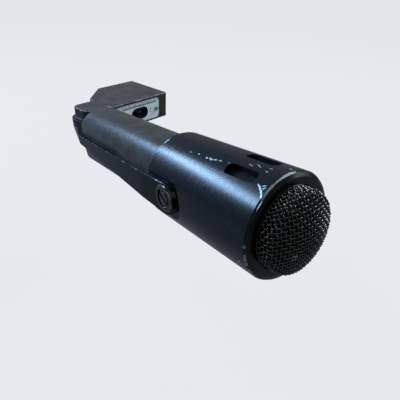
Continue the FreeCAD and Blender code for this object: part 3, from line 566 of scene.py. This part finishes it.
@dataclass(frozen=True)
class WorkedMetal(Finish):
    """Bare metal with a little tarnish and fine tool lines, turned about an axis or brushed.

    swings are the tool lines' and the stains'. dull is the share of the colour in either.
    """

    colour: Colour
    rough: float
    lay: Lay = Lay.ROUND_MICROPHONE
    tarnish: float = 0.25
    metal: float = 1.0
    depth: float = 0.01
    tool: Patches = Patches(5.0, 3.0, 0.7, (0.35, 0.7))
    tool_share: float = 0.18
    brush_stretch: Triple = (1.0, 0.03, 1.0)
    stains: Patches = Patches(0.18, 4.0, 0.6, (0.42, 0.75))
    dull: float = 0.5
    swings: Pair = (0.22, 0.12)
    shows: float = 0.6

    def lines(self, recipe: Recipe) -> Wire:
        """Coordinates in which the tool lines are long.

        They are radius and height for a turned piece, and squashed length for a brushed one.

        Args:
            recipe: the material.

        Returns:
            The coordinates, in millimetres.
        """
        if self.lay is Lay.ALONG_PLATE:
            return recipe.stretch(recipe.place(), self.brush_stretch)
        seat, axis = (TILT, 0) if self.lay is Lay.ROUND_MICROPHONE else (SQUARE, 2)
        parts = recipe.split(seat.coordinates(recipe))
        a, b = (part for k, part in enumerate(parts) if k != axis)
        return recipe.join((a * a + b * b).root(), parts[axis], 0.0)

    def cover(self, recipe: Recipe) -> None:
        """The metal, duller in its stains and tool lines.

        Args:
            recipe: its material.
        """
        fine = recipe.noise(self.lines(recipe), self.tool)
        stain = recipe.mask(recipe.place(), self.stains)
        dull = tinged(self.colour, self.dull)
        colour = recipe.tint(stain * self.tarnish, self.colour, dull)
        colour = recipe.tint(fine.rise(*self.tool.ends) * self.tool_share, colour, dull)
        by_tool, by_stain = self.swings
        rough = fine.centred() * by_tool + (stain * by_stain + self.rough)
        recipe.surface(colour, rough, self.metal, recipe.bump(fine, self.depth, self.shows))


@dataclass(frozen=True)
class Moulded(Finish):
    """Moulded plastic or rubber: a fine spark-eroded grain and a slightly uneven sheen.

    grain is the depth of its pits, and pits is how many there are in a millimetre.
    """

    colour: Colour
    rough: float
    grain: float = 0.02
    sheen: float = 0.4
    pits: float = 3.5
    clouds: Patches = Patches(0.3, 3.0, 0.5, (0.3, 0.7))
    pale_lift: Pair = (1.5, 0.002)
    swing: float = 0.2
    shows: float = 0.6

    def cover(self, recipe: Recipe) -> None:
        """The plastic or rubber, paler and duller in clouds.

        Args:
            recipe: its material.
        """
        spot = recipe.place()
        cloud = recipe.noise(spot, self.clouds)
        pale = tinged(self.colour, *self.pale_lift)
        colour = recipe.tint(cloud.rise(*self.clouds.ends), self.colour, pale)
        raised = recipe.bump(recipe.cells(spot, self.pits), self.grain, self.shows)
        rough = cloud.centred() * self.swing + self.rough
        recipe.surface(colour, rough, 0.0, raised, self.sheen)


@dataclass(frozen=True)
class GrilleWire(Finish):
    """Black enamel on the woven wires, with bare steel in scattered rubbed patches and at one old
    dent.

    spot is the dent's middle and reach its radius; it is brightest within core of that.
    """

    name: str = "woven_wire_black"
    colour: Colour = (0.0018, 0.0026, 0.0038)
    bare: Colour = (0.30, 0.32, 0.34)
    spot: Triple = (66.6, -7.6, -5.6)
    reach: float = 1.9
    core: float = 0.55
    dent_share: float = 0.75
    crowns: Patches = Patches(0.75, 3.0, 0.6, (0.60, 0.72))
    crown_share: float = 0.22
    bare_metal: float = 0.9
    uneven: Patches = Patches(1.7)
    rough: Pair = (0.12, 0.26)
    drips: Patches = Patches(5.0)
    depth: float = 0.02
    shows: float = 0.6
    sheen: float = 0.8

    def cover(self, recipe: Recipe) -> None:
        """The enamel, with bare steel where it is rubbed through.

        Args:
            recipe: its material.
        """
        own = TILT.coordinates(recipe)
        away = recipe.vector("DISTANCE", own, self.spot)
        dent = away.rise(self.reach, self.reach * self.core) * self.dent_share
        bare = (recipe.mask(own, self.crowns) * self.crown_share).most(dent)
        rough = recipe.between(recipe.noise(own, self.uneven), *self.rough)
        raised = recipe.bump(recipe.noise(own, self.drips), self.depth, self.shows)
        recipe.surface(recipe.tint(bare, self.colour, self.bare), rough,
                       bare * self.bare_metal, raised, self.sheen)


@dataclass(frozen=True)
class ScreenCloth(Finish):
    """The fine woven screen behind the ports: holes in rows along it and round its radius."""

    name: str = "port_screen_weave"
    colour: Colour = (0.0045, 0.0060, 0.0085)
    hole: Colour = (0.0010, 0.0013, 0.0018)
    pitch: float = 0.62
    radius: float = 20.0
    hole_ends: Pair = (0.30, 0.62)
    uneven: Patches = Patches(0.8)
    rough: Pair = (0.35, 0.6)
    depth: float = 0.12
    shows: float = 0.8
    sheen: float = 0.12

    def cover(self, recipe: Recipe) -> None:
        """The screen: the product of two sines, one each way, is above a limit in each hole.

        Args:
            recipe: its material.
        """
        x, y, z = recipe.split(TILT.coordinates(recipe))
        along = (x * (pi / self.pitch)).wave().size()
        around = (recipe.angle(z, y) * round(pi * self.radius / self.pitch)).wave().size()
        hole = (along * around).rise(*self.hole_ends)
        rough = recipe.between(recipe.noise(recipe.place(), self.uneven), *self.rough)
        raised = recipe.bump(1.0 - hole, self.depth, self.shows)
        recipe.surface(recipe.tint(hole, self.colour, self.hole), rough, 0.0, raised,
                       self.sheen)


@dataclass(frozen=True)
class OnePattern(Finish):
    """A finish whose colour, sheen and height follow one pattern, as foam, board and ink do.

    low and high are its colours at the pattern's ends, and rough its roughness at 0 and 1.
    """

    low: Colour
    high: Colour
    rough: Pair
    pattern: Patches
    cells: bool = False
    seat: Seat = SQUARE
    stretch: Triple = (1.0, 1.0, 1.0)
    depth: float = 0.0
    shows: float = 1.0
    sheen: float = 0.5

    def cover(self, recipe: Recipe) -> None:
        """The pattern of soft patches or round cells, and what follows it.

        Args:
            recipe: its material.
        """
        spot = recipe.stretch(self.seat.coordinates(recipe), self.stretch)
        level = (recipe.cells(spot, self.pattern.scale) if self.cells
                 else recipe.noise(spot, self.pattern))
        colour = recipe.tint(level.rise(*self.pattern.ends), self.low, self.high)
        raised = recipe.bump(level, self.depth, self.shows) if self.depth else None
        recipe.surface(colour, recipe.between(level, *self.rough), 0.0, raised, self.sheen)


# Surfaces


@dataclass
class Surface:
    """Points and faces of one mesh while it is worked out; points are rows of three."""

    points: np.ndarray
    faces: list[list[int]]

    @staticmethod
    def grid(points: np.ndarray, wrap_rows: bool = False, wrap_columns: bool = False) -> "Surface":
        """Quads between neighbours of a grid of points, or of each grid in a stack.

        Args:
            points: an array of rows by columns by three, or a stack of them.
            wrap_rows: whether the last row joins the first.
            wrap_columns: whether the last column joins the first.

        Returns:
            The surface.
        """
        rows, columns = points.shape[-3:-1]
        i, j = np.meshgrid(np.arange(rows if wrap_rows else rows - 1),
                           np.arange(columns if wrap_columns else columns - 1), indexing="ij")
        near, far, beside = i * columns, (i + 1) % rows * columns, (j + 1) % columns
        quads = np.stack([near + j, far + j, far + beside, near + beside], -1).reshape(-1, 4)
        points = points.reshape(-1, 3)
        start = np.arange(0, len(points), rows * columns)[:, None, None]
        return Surface(points, (start + quads).reshape(-1, 4).tolist())

    @staticmethod
    def tubes(rings: np.ndarray) -> "Surface":
        """Closed tubes: each one's rings are joined in a row, and its two ends are closed.

        Args:
            rings: an array of tubes by rings by corners by three.

        Returns:
            The surface.
        """
        made = Surface.grid(rings, wrap_columns=True)
        tubes, length, corners = rings.shape[:3]
        first = np.arange(tubes)[:, None] * length * corners + np.arange(corners)
        made.faces += first.tolist() + (first + (length - 1) * corners).tolist()
        return made

    def and_also(self, other: "Surface") -> "Surface":
        """This and another surface as one mesh."""
        start = len(self.points)
        return Surface(np.vstack([self.points, other.points]),
                       self.faces + [[start + k for k in face] for face in other.faces])

    def piece(self, name: str, material: Material, smooth: bool = True) -> Object:
        """Makes the object, with its place in its mesh.

        Args:
            name: the piece's name.
            material: its finish.
            smooth: whether its faces are shaded as one.

        Returns:
            The new object.
        """
        mesh = bpy.data.meshes.new(name)
        mesh.from_pydata(self.points, [], self.faces)
        shell = bmesh.new()
        shell.from_mesh(mesh)
        bmesh.ops.recalc_face_normals(shell, faces=shell.faces)
        shell.to_mesh(mesh)
        shell.free()
        mesh.polygons.foreach_set("use_smooth", np.full(len(mesh.polygons), smooth))
        mesh.materials.append(material)
        mesh.update()
        made = bpy.data.objects.new(name, mesh)
        bpy.context.scene.collection.objects.link(made)
        return made


def turned(profile: np.ndarray, steps: int, ring: bool) -> Surface:
    """A profile turned about X: each point (x, r) goes round as (x, r cos a, r sin a).

    Args:
        profile: rows of x and r.
        steps: places round the turn.
        ring: whether the profile closes on itself; if not, a small disc closes each of its ends.

    Returns:
        The closed surface.
    """
    turn = np.linspace(0, 2 * pi, steps, endpoint=False)[:, None]
    x, r = profile[None, :, 0], profile[None, :, 1]
    points = np.stack([x + 0 * turn, r * np.cos(turn), r * np.sin(turn)], -1)
    made = Surface.grid(points, wrap_rows=True, wrap_columns=ring)
    if not ring:
        start = np.arange(steps) * len(profile)
        made.faces += [start.tolist(), (start + len(profile) - 1).tolist()]
    return made


@dataclass
class CapProfile:
    """The cap's curve outwards from its tip: a shallow crown, a round shoulder, a straight side.

    Sizes are in millimetres. soften is the width of the running mean that softens the shoulder, and
    overrun is how far the curve goes on past its tip, so that the mean is even there. steps are
    places on the crown, on the shoulder, on the side, and on the whole curve.
    """

    radius: float
    side_end: float
    dome: float
    corner: float
    foot: float
    soften: float = 1.2
    overrun: float = 3.0
    steps: tuple[int, int, int, int] = (160, 60, 160, 1200)

    def curve(self) -> np.ndarray:
        """The curve with its outward normal.

        The crown is a parabola over the radius, the shoulder is a quarter circle, and a short
        running mean softens where they meet. The normal is the tangent turned outwards.

        Returns:
            Rows of length along the curve, x, radius, and the two parts of the normal.
        """
        flat = self.radius - self.corner
        on_crown, on_shoulder, on_side, on_curve = self.steps
        r = np.linspace(0, flat, on_crown)
        turn = np.linspace(pi / 2, 0, on_shoulder)[1:]
        shoulder = self.side_end - self.corner
        side = np.linspace(shoulder, self.foot - 2 * self.soften, on_side)[1:]
        x = np.concatenate([self.side_end + self.dome * (1 - (r / flat) ** 2),
                            shoulder + self.corner * np.sin(turn), side])
        r = np.concatenate([r, flat + self.corner * np.cos(turn), np.full(len(side), self.radius)])
        along = np.concatenate([[0], np.cumsum(np.hypot(np.diff(x), np.diff(r)))])
        even = np.linspace(-self.overrun, along[-1], on_curve)
        past = np.abs(even)
        x, r = np.interp(past, along, x), np.sign(even) * np.interp(past, along, r)
        window = np.ones(int(self.soften / (even[1] - even[0])))
        middle = slice(len(window), -len(window))
        x, r = (np.convolve(v, window / window.size, "same")[middle] for v in (x, r))
        even = even[middle]
        dx, dr = np.gradient(x, even), np.gradient(r, even)
        size = np.hypot(dx, dr)
        rows = np.stack([even, x, r, dr / size, -dx / size], 1)
        return rows[(even >= 0) & (x >= self.foot)]


# Sub-assemblies


@dataclass
class Dresser:
    """Gives CAD nodes their finishes; each finish is mixed once."""

    mixed: dict[str, Material] = field(default_factory=dict)

    def material(self, finish: Finish) -> Material:
        """The finish's material, mixed on first use.

        Args:
            finish: the finish.

        Returns:
            The material.
        """
        if finish.name not in self.mixed:
            self.mixed[finish.name] = finish.mix()
        return self.mixed[finish.name]

    def dress(self, finish: Finish, *nodes: str) -> None:
        """Puts the finish on each of the CAD nodes.

        Args:
            finish: the finish.
            nodes: the nodes' names.
        """
        for name in nodes:
            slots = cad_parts[name].data.materials
            slots.clear()
            slots.append(self.material(finish))
            log.info("%s: %s", name, finish.name)


GLOSS_BLACK = Paint("bezel_gloss_black", (0.002, 0.0027, 0.0036), 0.20, sheen=0.25, peel=0.006,
                    dust=0.08)
TAIL_PAINT = Paint("tail_soft_charcoal", (0.0320, 0.0312, 0.0305), 0.29, sheen=0.12, peel=0.004,
                   dust=0.12)
YOKE_PAINT = Paint("yoke_dark_grey", (0.0025, 0.0040, 0.0058), 0.32, sheen=0.07, peel=0.014,
                   dust=0.08, rub_and_glint=0.5, up=tuple(TILT.turn()[:, 2]), bare=(0.34, 0.36, 0.39))
# Its bare rounded edges are partly paint rubbed through and partly a painted highlight along the
# edges.
BASE_PAINT = Paint("base_matt_grey", (0.033, 0.031, 0.029), 0.56, sheen=0.16, peel=0.02,
                   dust=0.12, rub_and_glint=0.45, bare=(0.36, 0.38, 0.42), spread=(0.36, 0.60))
# Its bare rim ring is partly paint rubbed through and partly a painted highlight round the rim.
SCREW_BLACK = Paint("pivot_screw_black", (0.003, 0.004, 0.006), 0.20, sheen=0.4, peel=0.006,
                    dust=0.10, rub_and_glint=0.6, up=tuple(TILT.turn()[:, 1]), bare=(0.34, 0.36, 0.39),
                    spread=(0.40, 0.60))
TURNED_ALUMINIUM = WorkedMetal("turned_aluminium", (0.50, 0.51, 0.53), 0.32)
# The face plate: its pale blue colour, nearly non-metal and so lit like a pale sheet, is silver
# with a painted reflection of bluish surroundings.
PLATE_SILVER_PAINTED_REFLECTION = WorkedMetal("brushed_silver_plate_painted_reflection", (0.80, 0.96, 1.0), 0.40, Lay.ALONG_PLATE,
                           tarnish=0.2, metal=0.05, depth=0.008)
STEEL = WorkedMetal("plain_steel", (0.42, 0.43, 0.44), 0.36, Lay.ROUND_UPRIGHT)
DARK_STEEL = WorkedMetal("transformer_steel", (0.20, 0.20, 0.21), 0.45)
BRASS = WorkedMetal("turned_brass", (0.62, 0.45, 0.18), 0.33, Lay.ROUND_UPRIGHT, tarnish=0.45)
PIVOT_BRASS = WorkedMetal("pivot_brass", (0.60, 0.44, 0.18), 0.34)
RUBBER = Moulded("black_rubber", (0.012, 0.012, 0.013), 0.75, grain=0.03, sheen=0.25)
PLASTIC = Moulded("black_plastic", (0.0018, 0.0026, 0.0040), 0.46, sheen=0.12)
WASHER_FIBRE = Moulded("washer_fibre", (0.05, 0.035, 0.025), 0.6, grain=0.015, sheen=0.3)

FOAM_CELLS = OnePattern("open_cell_foam", (0.0015, 0.0018, 0.0022), (0.0080, 0.0095, 0.0115),
                        (0.95, 0.85), Patches(1.9, ends=(0.15, 0.55)), cells=True, seat=TILT,
                        depth=0.25, sheen=0.15)
BOARD_FIBRE = OnePattern("phenolic_board", (0.245, 0.168, 0.084), (0.35, 0.24, 0.12),
                         (0.45, 0.62), Patches(2.6, 3.0, 0.6, (0.3, 0.7)),
                         stretch=(1.0, 0.18, 1.0), depth=0.01, shows=0.5)
PLATE_INK = OnePattern("plate_ink", (0.015, 0.02, 0.03), (0.10, 0.12, 0.15), (0.5, 0.66),
                       Patches(2.2, 3.0, 0.6, (0.48, 0.72)))


@dataclass
class Microphone:
    """The tilting microphone: ported barrel, tail, capsule, woven grille over foam.

    Sizes are in millimetres. The band's top is band_drop short of the bezel's face, its radius is
    band_clear less than the cap's, and its wall is band_thin thinner. foam_rows are the first of
    the curve's rows in the foam's skin, and the step to the next.
    """

    dresser: Dresser
    cap_radius: float = 18.5
    cap_side_end: float = 64.4
    cap_dome: float = 3.6
    cap_corner: float = 2.4
    cap_wall: float = 1.4
    cap_foot: float = 53.2
    face: float = 57.0
    flange: float = 1.4
    flange_gap: float = 0.05
    band_drop: float = 0.3
    band_clear: float = 0.02
    band_thin: float = 0.04
    band_bevel: float = 0.15
    band_steps: int = 96
    wire: float = 0.30
    wire_gap: float = 0.05
    pitch: float = 1.75
    last_wire: float = 0.2
    weave_foot: float = 0.9
    wire_sides: int = 5
    samples: int = 205
    foam_gap: float = 0.3
    foam_clear: float = 0.05
    foam_foot: float = 0.3
    foam_rows: tuple[int, int] = (8, 14)
    foam_lip: float = 0.4
    foam_cavity: Triple = (53.2, 61.75, 14.35)
    foam_steps: int = 120
    foam_pits: float = 0.15
    seed: int = 7

    def wires(self, curve: np.ndarray, across: bool) -> Surface:
        """One set of parallel wires of the weave, bent over the cap.

        A wire keeps u at a whole number of pitches on a flat disc and runs along v, and the last
        one is at least last_wire pitches from the disc's edge. A flat point at distance d and angle
        a from the middle goes to length d along the cap's curve, at angle a round the axis. It
        stands off along the normal by one wire radius times cos(pi (v + u) / pitch), and the other
        set by the opposite, so that the wires pass over and under each other. A small polygon is
        carried along each wire, and its ends are closed.

        Args:
            curve: the cap's curve, as CapProfile gives it.
            across: whether this is the set at right angles.

        Returns:
            The wires.
        """
        far = curve[-1, 0]
        count = int(far / self.pitch - self.last_wire)
        u = (np.arange(-count, count + 1) * self.pitch)[:, None]
        v = np.sqrt(far ** 2 - u ** 2) * np.linspace(-1, 1, self.samples)[None]
        u = u + 0 * v
        lift = self.wire * np.cos(pi * (v + u) / self.pitch) * (-1 if across else 1)
        a, b = (v, u) if across else (u, v)
        reach, turn = np.hypot(a, b), np.arctan2(b, a)
        x, r, nx, nr = (np.interp(reach, curve[:, 0], curve[:, k]) for k in range(1, 5))
        normal = np.stack([nx, nr * np.cos(turn), nr * np.sin(turn)], -1)
        middle = np.stack([x, r * np.cos(turn), r * np.sin(turn)], -1) + normal * lift[..., None]
        along = np.gradient(middle, axis=1)
        along /= np.linalg.norm(along, axis=-1, keepdims=True)
        side = np.cross(along, normal)
        side /= np.linalg.norm(side, axis=-1, keepdims=True)
        over = np.cross(side, along)[:, :, None]
        ring = np.linspace(0, 2 * pi, self.wire_sides, endpoint=False)[:, None]
        section = np.cos(ring) * over + np.sin(ring) * side[:, :, None]
        return Surface.tubes(middle[:, :, None] + self.wire * section)

    def rim_band(self) -> Surface:
        """The pressed band and flange that hold the weave, turned about the axis.

        They are hidden behind the bezel's face.

        Returns:
            The closed band.
        """
        foot, top, bevel = self.cap_foot, self.face - self.band_drop, self.band_bevel
        lip = foot + self.flange - self.flange_gap
        r = self.cap_radius - self.band_clear
        bore, brim = r - self.cap_wall + self.band_thin, r + self.flange
        profile = [(foot, bore), (foot, brim), (lip, brim), (lip, r), (top - bevel, r),
                   (top, r - bevel), (top, bore + bevel), (top - bevel, bore)]
        return turned(np.array(profile), self.band_steps, ring=True)

    def cap(self, inset: float, foot: float) -> np.ndarray:
        """The cap's curve, set in from its outside, down to a foot."""
        return CapProfile(self.cap_radius - inset, self.cap_side_end - inset, self.cap_dome,
                          self.cap_corner, foot).curve()

    def build_grille(self) -> Object:
        """The woven wire cap with its band, in place of the plain cap.

        Returns:
            The piece.
        """
        curve = self.cap(2 * self.wire + self.wire_gap, self.face - self.weave_foot)
        made = self.wires(curve, False).and_also(self.wires(curve, True)).and_also(self.rim_band())
        return self.fit(made, "woven_grille", GrilleWire(), "grille_mesh")

    def build_foam(self) -> Object:
        """The foam liner: the cap's curve set in, with the capsule's bay behind it.

        Its skin is pushed in by up to foam_pits of noise.

        Returns:
            The piece.
        """
        curve = self.cap(self.cap_wall + self.foam_gap + self.foam_clear,
                         self.cap_foot + self.foam_foot)
        first, every = self.foam_rows
        skin = curve[first::every, 1:3]
        back, floor, bay = self.foam_cavity
        back += self.foam_clear
        inside = [(back, skin[-1, 1] - self.foam_lip), (back, bay), (floor, bay),
                  (floor, bay * 0.5), (floor, self.foam_lip)]
        made = turned(np.vstack([skin, inside]), self.foam_steps, ring=False)
        grid = made.points.reshape(self.foam_steps, -1, 3)
        draws = np.random.default_rng(self.seed).random((self.foam_steps, len(skin)))
        push = draws * self.foam_pits
        grid[:, :len(skin), 0] -= push
        grid[:, :len(skin), 1:] *= (1 - push / self.cap_radius)[..., None]
        return self.fit(made, "foam_liner", FOAM_CELLS, "wind_foam")

    def fit(self, made: Surface, name: str, finish: Finish, node: str) -> Object:
        """Makes a surface a piece of the microphone, in place of a CAD node.

        Args:
            made: the piece's surface in the microphone's own frame.
            name: the piece's name.
            finish: its finish.
            node: the node that it stands for.

        Returns:
            The piece.
        """
        made.points = TILT.out(made.points)
        piece = made.piece(name, self.dresser.material(finish))
        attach(piece, "microphone")
        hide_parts(node)
        log.info("%s: %d faces for %s", name, len(piece.data.polygons), node)
        return piece

    def build(self) -> None:
        """Makes the new pieces and dresses the nodes."""
        self.build_grille()
        self.build_foam()
        dress = self.dresser.dress
        dress(BarrelPaint(), "barrel_shell")
        dress(ScreenCloth(), "port_screen")
        dress(GLOSS_BLACK, "front_bezel")
        dress(TAIL_PAINT, "tail_shell")
        dress(TURNED_ALUMINIUM, "capsule_body", "capsule_cover", "joining_ring")
        dress(RUBBER, "capsule_mount_front", "capsule_mount_rear", "lead_grommet")
        dress(PLASTIC, "transformer_cradle", "tail_end_cap")
        dress(DARK_STEEL, "transformer")
        dress(PIVOT_BRASS, "pivot_bush_right", "pivot_bush_left")
        dress(SCREW_BLACK, "pivot_screw_right", "pivot_screw_left")


@dataclass
class Yoke:
    """The fork that carries the microphone, with its two washers."""

    dresser: Dresser

    def build(self) -> None:
        """Dresses the fork and its washers."""
        self.dresser.dress(YOKE_PAINT, "yoke")
        self.dresser.dress(WASHER_FIBRE, "pivot_washer_right", "pivot_washer_left")


@dataclass
class SwivelBase:
    """The base box with its switch, stand thread and socket, and the marks on its face plate.

    Sizes are in millimetres of the row frame: y runs along the plate, which faces +X. tick is a
    tick's width, its height, and the height of every long_every-th one. line_drop and tick_drop
    are how far the line and the ticks' feet lie under scale_z. cap_share is a digit's height as a
    share of its letter size.
    """

    dresser: Dresser
    plate_face: float = 24.5
    ink_gap: float = 0.02
    ink_thick: float = 0.03
    scale_y: Pair = (-21.0, 18.0)
    scale_z: float = 17.6
    line_drop: float = 0.9
    tick_drop: float = 0.7
    ticks: int = 27
    tick: Triple = (0.6, 1.3, 2.2)
    long_every: int = 5
    digit_height: float = 4.0
    cap_share: float = 0.7
    digits: tuple[tuple[str, float, float], ...] = (("0", -14.6, 9.9), ("1", 11.4, 9.9))

    def bars(self, middle: np.ndarray, size: np.ndarray) -> Surface:
        """Flat printed bars, each a thin box that stands ink_thick proud.

        Args:
            middle: rows of y and z.
            size: rows of the same two sizes.

        Returns:
            The closed bars.
        """
        corners = np.array([(-1, -1), (1, -1), (1, 1), (-1, 1)]) / 2
        flat = middle[:, None] + size[:, None] * corners
        back = self.plate_face + self.ink_gap
        rings = [np.insert(flat, 0, x, axis=-1) for x in (back, back + self.ink_thick)]
        return Surface.tubes(np.stack(rings, 1))

    def digit(self, text: str, y: float, z: float) -> Surface:
        """A printed digit: the built-in letter shape as a thin mesh, moved onto the plate.

        Args:
            text: the digit.
            y: its middle along the plate.
            z: its middle up the plate.

        Returns:
            The digit's surface.
        """
        shape = bpy.data.curves.new("digit_" + text, "FONT")
        shape.body, shape.align_x, shape.align_y = text, "CENTER", "CENTER"
        shape.size = self.digit_height / self.cap_share
        shape.extrude = self.ink_thick / 2
        holder = bpy.data.objects.new("digit_" + text, shape)
        bpy.context.scene.collection.objects.link(holder)
        graph = bpy.context.evaluated_depsgraph_get()
        mesh = bpy.data.meshes.new_from_object(holder.evaluated_get(graph))
        flat = np.zeros(len(mesh.vertices) * 3)
        mesh.vertices.foreach_get("co", flat)
        flat = flat.reshape(-1, 3)
        faces = [list(p.vertices) for p in mesh.polygons]
        bpy.data.objects.remove(holder)
        bpy.data.curves.remove(shape)
        bpy.data.meshes.remove(mesh)
        x = self.plate_face + self.ink_gap + self.ink_thick / 2 + flat[:, 2]
        return Surface(np.stack([x, y + flat[:, 0], z + flat[:, 1]], 1), faces)

    def build_marks(self) -> Object:
        """The printed scale over the switch, a line under it, and the digits 0 and 1 beside it.

        Returns:
            The piece.
        """
        width, short, long_ = self.tick
        left, right = self.scale_y
        tall = np.where(np.arange(self.ticks) % self.long_every, short, long_)
        y = np.append((left + right) / 2, np.linspace(left, right, self.ticks))
        z = np.append(self.scale_z - self.line_drop, self.scale_z - self.tick_drop + tall / 2)
        wide = np.append(right - left + width, np.full(self.ticks, width))
        made = self.bars(np.stack([y, z], 1), np.stack([wide, np.append(width, tall)], 1))
        for text, y, z in self.digits:
            made = made.and_also(self.digit(text, y, z))
        made.points = SQUARE.out(made.points)
        piece = made.piece("plate_marks", self.dresser.material(PLATE_INK), smooth=False)
        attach(piece, "base")
        log.info("plate_marks: %d faces", len(made.faces))
        return piece

    def build(self) -> None:
        """Makes the marks and dresses the nodes."""
        self.build_marks()
        dress = self.dresser.dress
        dress(BASE_PAINT, "base_shell", "bottom_cover")
        dress(PLATE_SILVER_PAINTED_REFLECTION, "face_plate")
        dress(PLASTIC, "switch_surround", "switch_knob", "switch_body")
        dress(STEEL, "plate_screws", "cover_screws", "output_socket", "socket_nut",
              "board_screws", "spring_washer", "swivel_screw")
        dress(BRASS, "stand_insert", "terminal_tags")
        dress(WASHER_FIBRE, "swivel_washer")
        dress(BOARD_FIBRE, "terminal_board")


# Studio


def stand(name: str, data: ID, place: Vector | Triple, *axes: Vector | Triple) -> Object:
    """Stands a lamp or a camera in the scene.

    Args:
        name: its name.
        data: the lamp or camera.
        place: where it stands, in metres.
        axes: the directions of its own X, Y and Z.

    Returns:
        The new object.
    """
    holder = bpy.data.objects.new(name, data)
    holder.matrix_world = Matrix.Translation(place) @ Matrix(axes).transposed().to_4x4()
    bpy.context.scene.collection.objects.link(holder)
    return holder


@dataclass(frozen=True)
class Softbox:
    """One soft lamp. place is from the aim, and along is the way that its long side runs."""

    name: str
    place: Triple
    size: Pair
    power: float
    colour: Colour
    along: Triple = (0.0, 1.0, 0.0)

    def hang(self, aim: Vector) -> None:
        """Puts the lamp up, facing the aim, with its first side along its own direction.

        Args:
            aim: the place that it lights, in metres.
        """
        lamp = bpy.data.lights.new(self.name, "AREA")
        lamp.shape, lamp.size, lamp.size_y = "RECTANGLE", *self.size
        lamp.energy, lamp.color = self.power, self.colour
        back = Vector(self.place).normalized()
        up = back.cross(Vector(self.along)).normalized()
        stand(self.name, lamp, aim + Vector(self.place), up.cross(back), up, back)


@dataclass
class Studio:
    """A plain pale floor, soft lamps and the camera. Sizes are in metres.

    The floor glows by glow_share where it is seen, and mirror_share of that where it is mirrored.
    seen_level is the world's strength where it is seen, and world_level where it lights.
    """

    floor_drop: float = -0.14
    floor_half: float = 9.0
    floor_lines: int = 13
    floor_colour: Colour = (0.15, 0.15, 0.147)
    floor_pale: float = 1.01
    floor_clouds: Patches = Patches(0.004)
    glow_colour: Colour = (0.90, 0.93, 0.96)
    glow_level: float = 1.0
    glow_share: float = 0.84
    mirror_share: float = 0.08
    camera_place: Triple = (0.260695, -0.207853, 0.125743)
    camera_right: Triple = (0.76487, 0.64165, 0.05704)
    camera_up: Triple = (-0.39515, 0.3974, 0.82821)
    camera_back: Triple = (0.50875, -0.65602, 0.55751)
    lens: float = 31.5
    sensor: float = 36.0
    clip: Pair = (0.01, 60.0)
    aim: Triple = (0.12, -0.06, 0.03)
    lamps: tuple[Softbox, ...] = (
        Softbox("key_behind", (-1.07, -0.30, 0.66), (0.76, 0.20), 30.0, (0.39, 0.64, 1.0),
                (-0.07, 0.47, -0.13)),
        Softbox("top_fill", (0.25, -0.1, 1.3), (1.1, 1.1), 2.4, (1.0, 0.92, 0.84)),
        Softbox("top_spot", (-0.45, -0.42, 1.10), (0.34, 0.34), 4.0, (1.0, 0.97, 0.93)),
        Softbox("front_fill", (1.0, 0.95, 0.42), (0.5, 0.5), 3.2, (0.80, 0.92, 1.0)),
        Softbox("side_fill", (0.1, 1.05, 0.95), (0.3, 0.3), 20.0, (0.90, 0.96, 1.0)),
    )
    world_level: float = 0.16
    seen_level: float = 0.836
    world_colour: Colour = (0.94, 0.972, 1.0)

    def seen(self, recipe: Recipe) -> Wire:
        """1 where the background is seen straight or through, mirror_share where mirrored."""
        path = recipe.node("ShaderNodeLightPath", None, None, "Is Camera Ray")
        return path.most(path.part("Is Transmission Ray")).most(
            path.part("Is Glossy Ray") * self.mirror_share)

    def lay_floor(self) -> None:
        """A wide level floor below the object, which hangs from its stand thread.

        Part of its paleness is its own glow where it is seen, so that it is even, and the rest
        keeps the shadow.
        """
        half = np.linspace(-self.floor_half, self.floor_half, self.floor_lines)
        x, y = np.meshgrid(half, half, indexing="ij")
        recipe = Recipe.named("studio_floor")
        tone = recipe.noise(recipe.place(), self.floor_clouds)
        colour = recipe.tint(tone, self.floor_colour, tinged(self.floor_colour, self.floor_pale))
        lit = recipe.node("ShaderNodeBsdfDiffuse", None, {0: colour})
        glow = recipe.node("ShaderNodeEmission", None,
                           {0: (*self.glow_colour, 1.0), 1: self.glow_level})
        mixed = recipe.node("ShaderNodeMixShader", None,
                            {0: self.seen(recipe) * self.glow_share, 1: lit, 2: glow})
        recipe.node("ShaderNodeOutputMaterial", None, {0: mixed})
        level = np.stack([x, y, 0 * x + self.floor_drop], -1)
        Surface.grid(level).piece("studio_floor", recipe.owner)

    def paint_world(self) -> None:
        """A pale world: plain light on the object, and paler where it is seen or mirrored."""
        bpy.context.scene.world = bpy.data.worlds.new("studio_world")
        recipe = Recipe(bpy.context.scene.world)
        strength = recipe.between(self.seen(recipe), self.world_level, self.seen_level)
        background = recipe.node("ShaderNodeBackground", None,
                                 {0: (*self.world_colour, 1.0), 1: strength})
        recipe.node("ShaderNodeOutputWorld", None, {0: background})

    def set_camera(self) -> None:
        """The camera at the viewing angle, without depth of field."""
        data = bpy.data.cameras.new("main_camera")
        data.lens, data.sensor_width = self.lens, self.sensor
        data.clip_start, data.clip_end = self.clip
        axes = self.camera_right, self.camera_up, self.camera_back
        bpy.context.scene.camera = stand("main_camera", data, self.camera_place, *axes)

    def build(self) -> None:
        """Sets up the floor, the world, the lamps and the camera."""
        self.lay_floor()
        self.paint_world()
        for lamp in self.lamps:
            lamp.hang(Vector(self.aim))
            log.info("lamp: %s", lamp.name)
        self.set_camera()
        bpy.context.scene.view_settings.view_transform = "Standard"


def main() -> None:
    """Builds and dresses the microphone, its yoke and its base, and sets up the studio."""
    logging.basicConfig(level=logging.INFO, format="%(name)s: %(message)s")
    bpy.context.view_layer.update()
    dresser = Dresser()
    for part in (Microphone(dresser), Yoke(dresser), SwivelBase(dresser), Studio()):
        log.info("building %s", type(part).__name__)
        part.build()


if __name__ == "__main__":
    main()
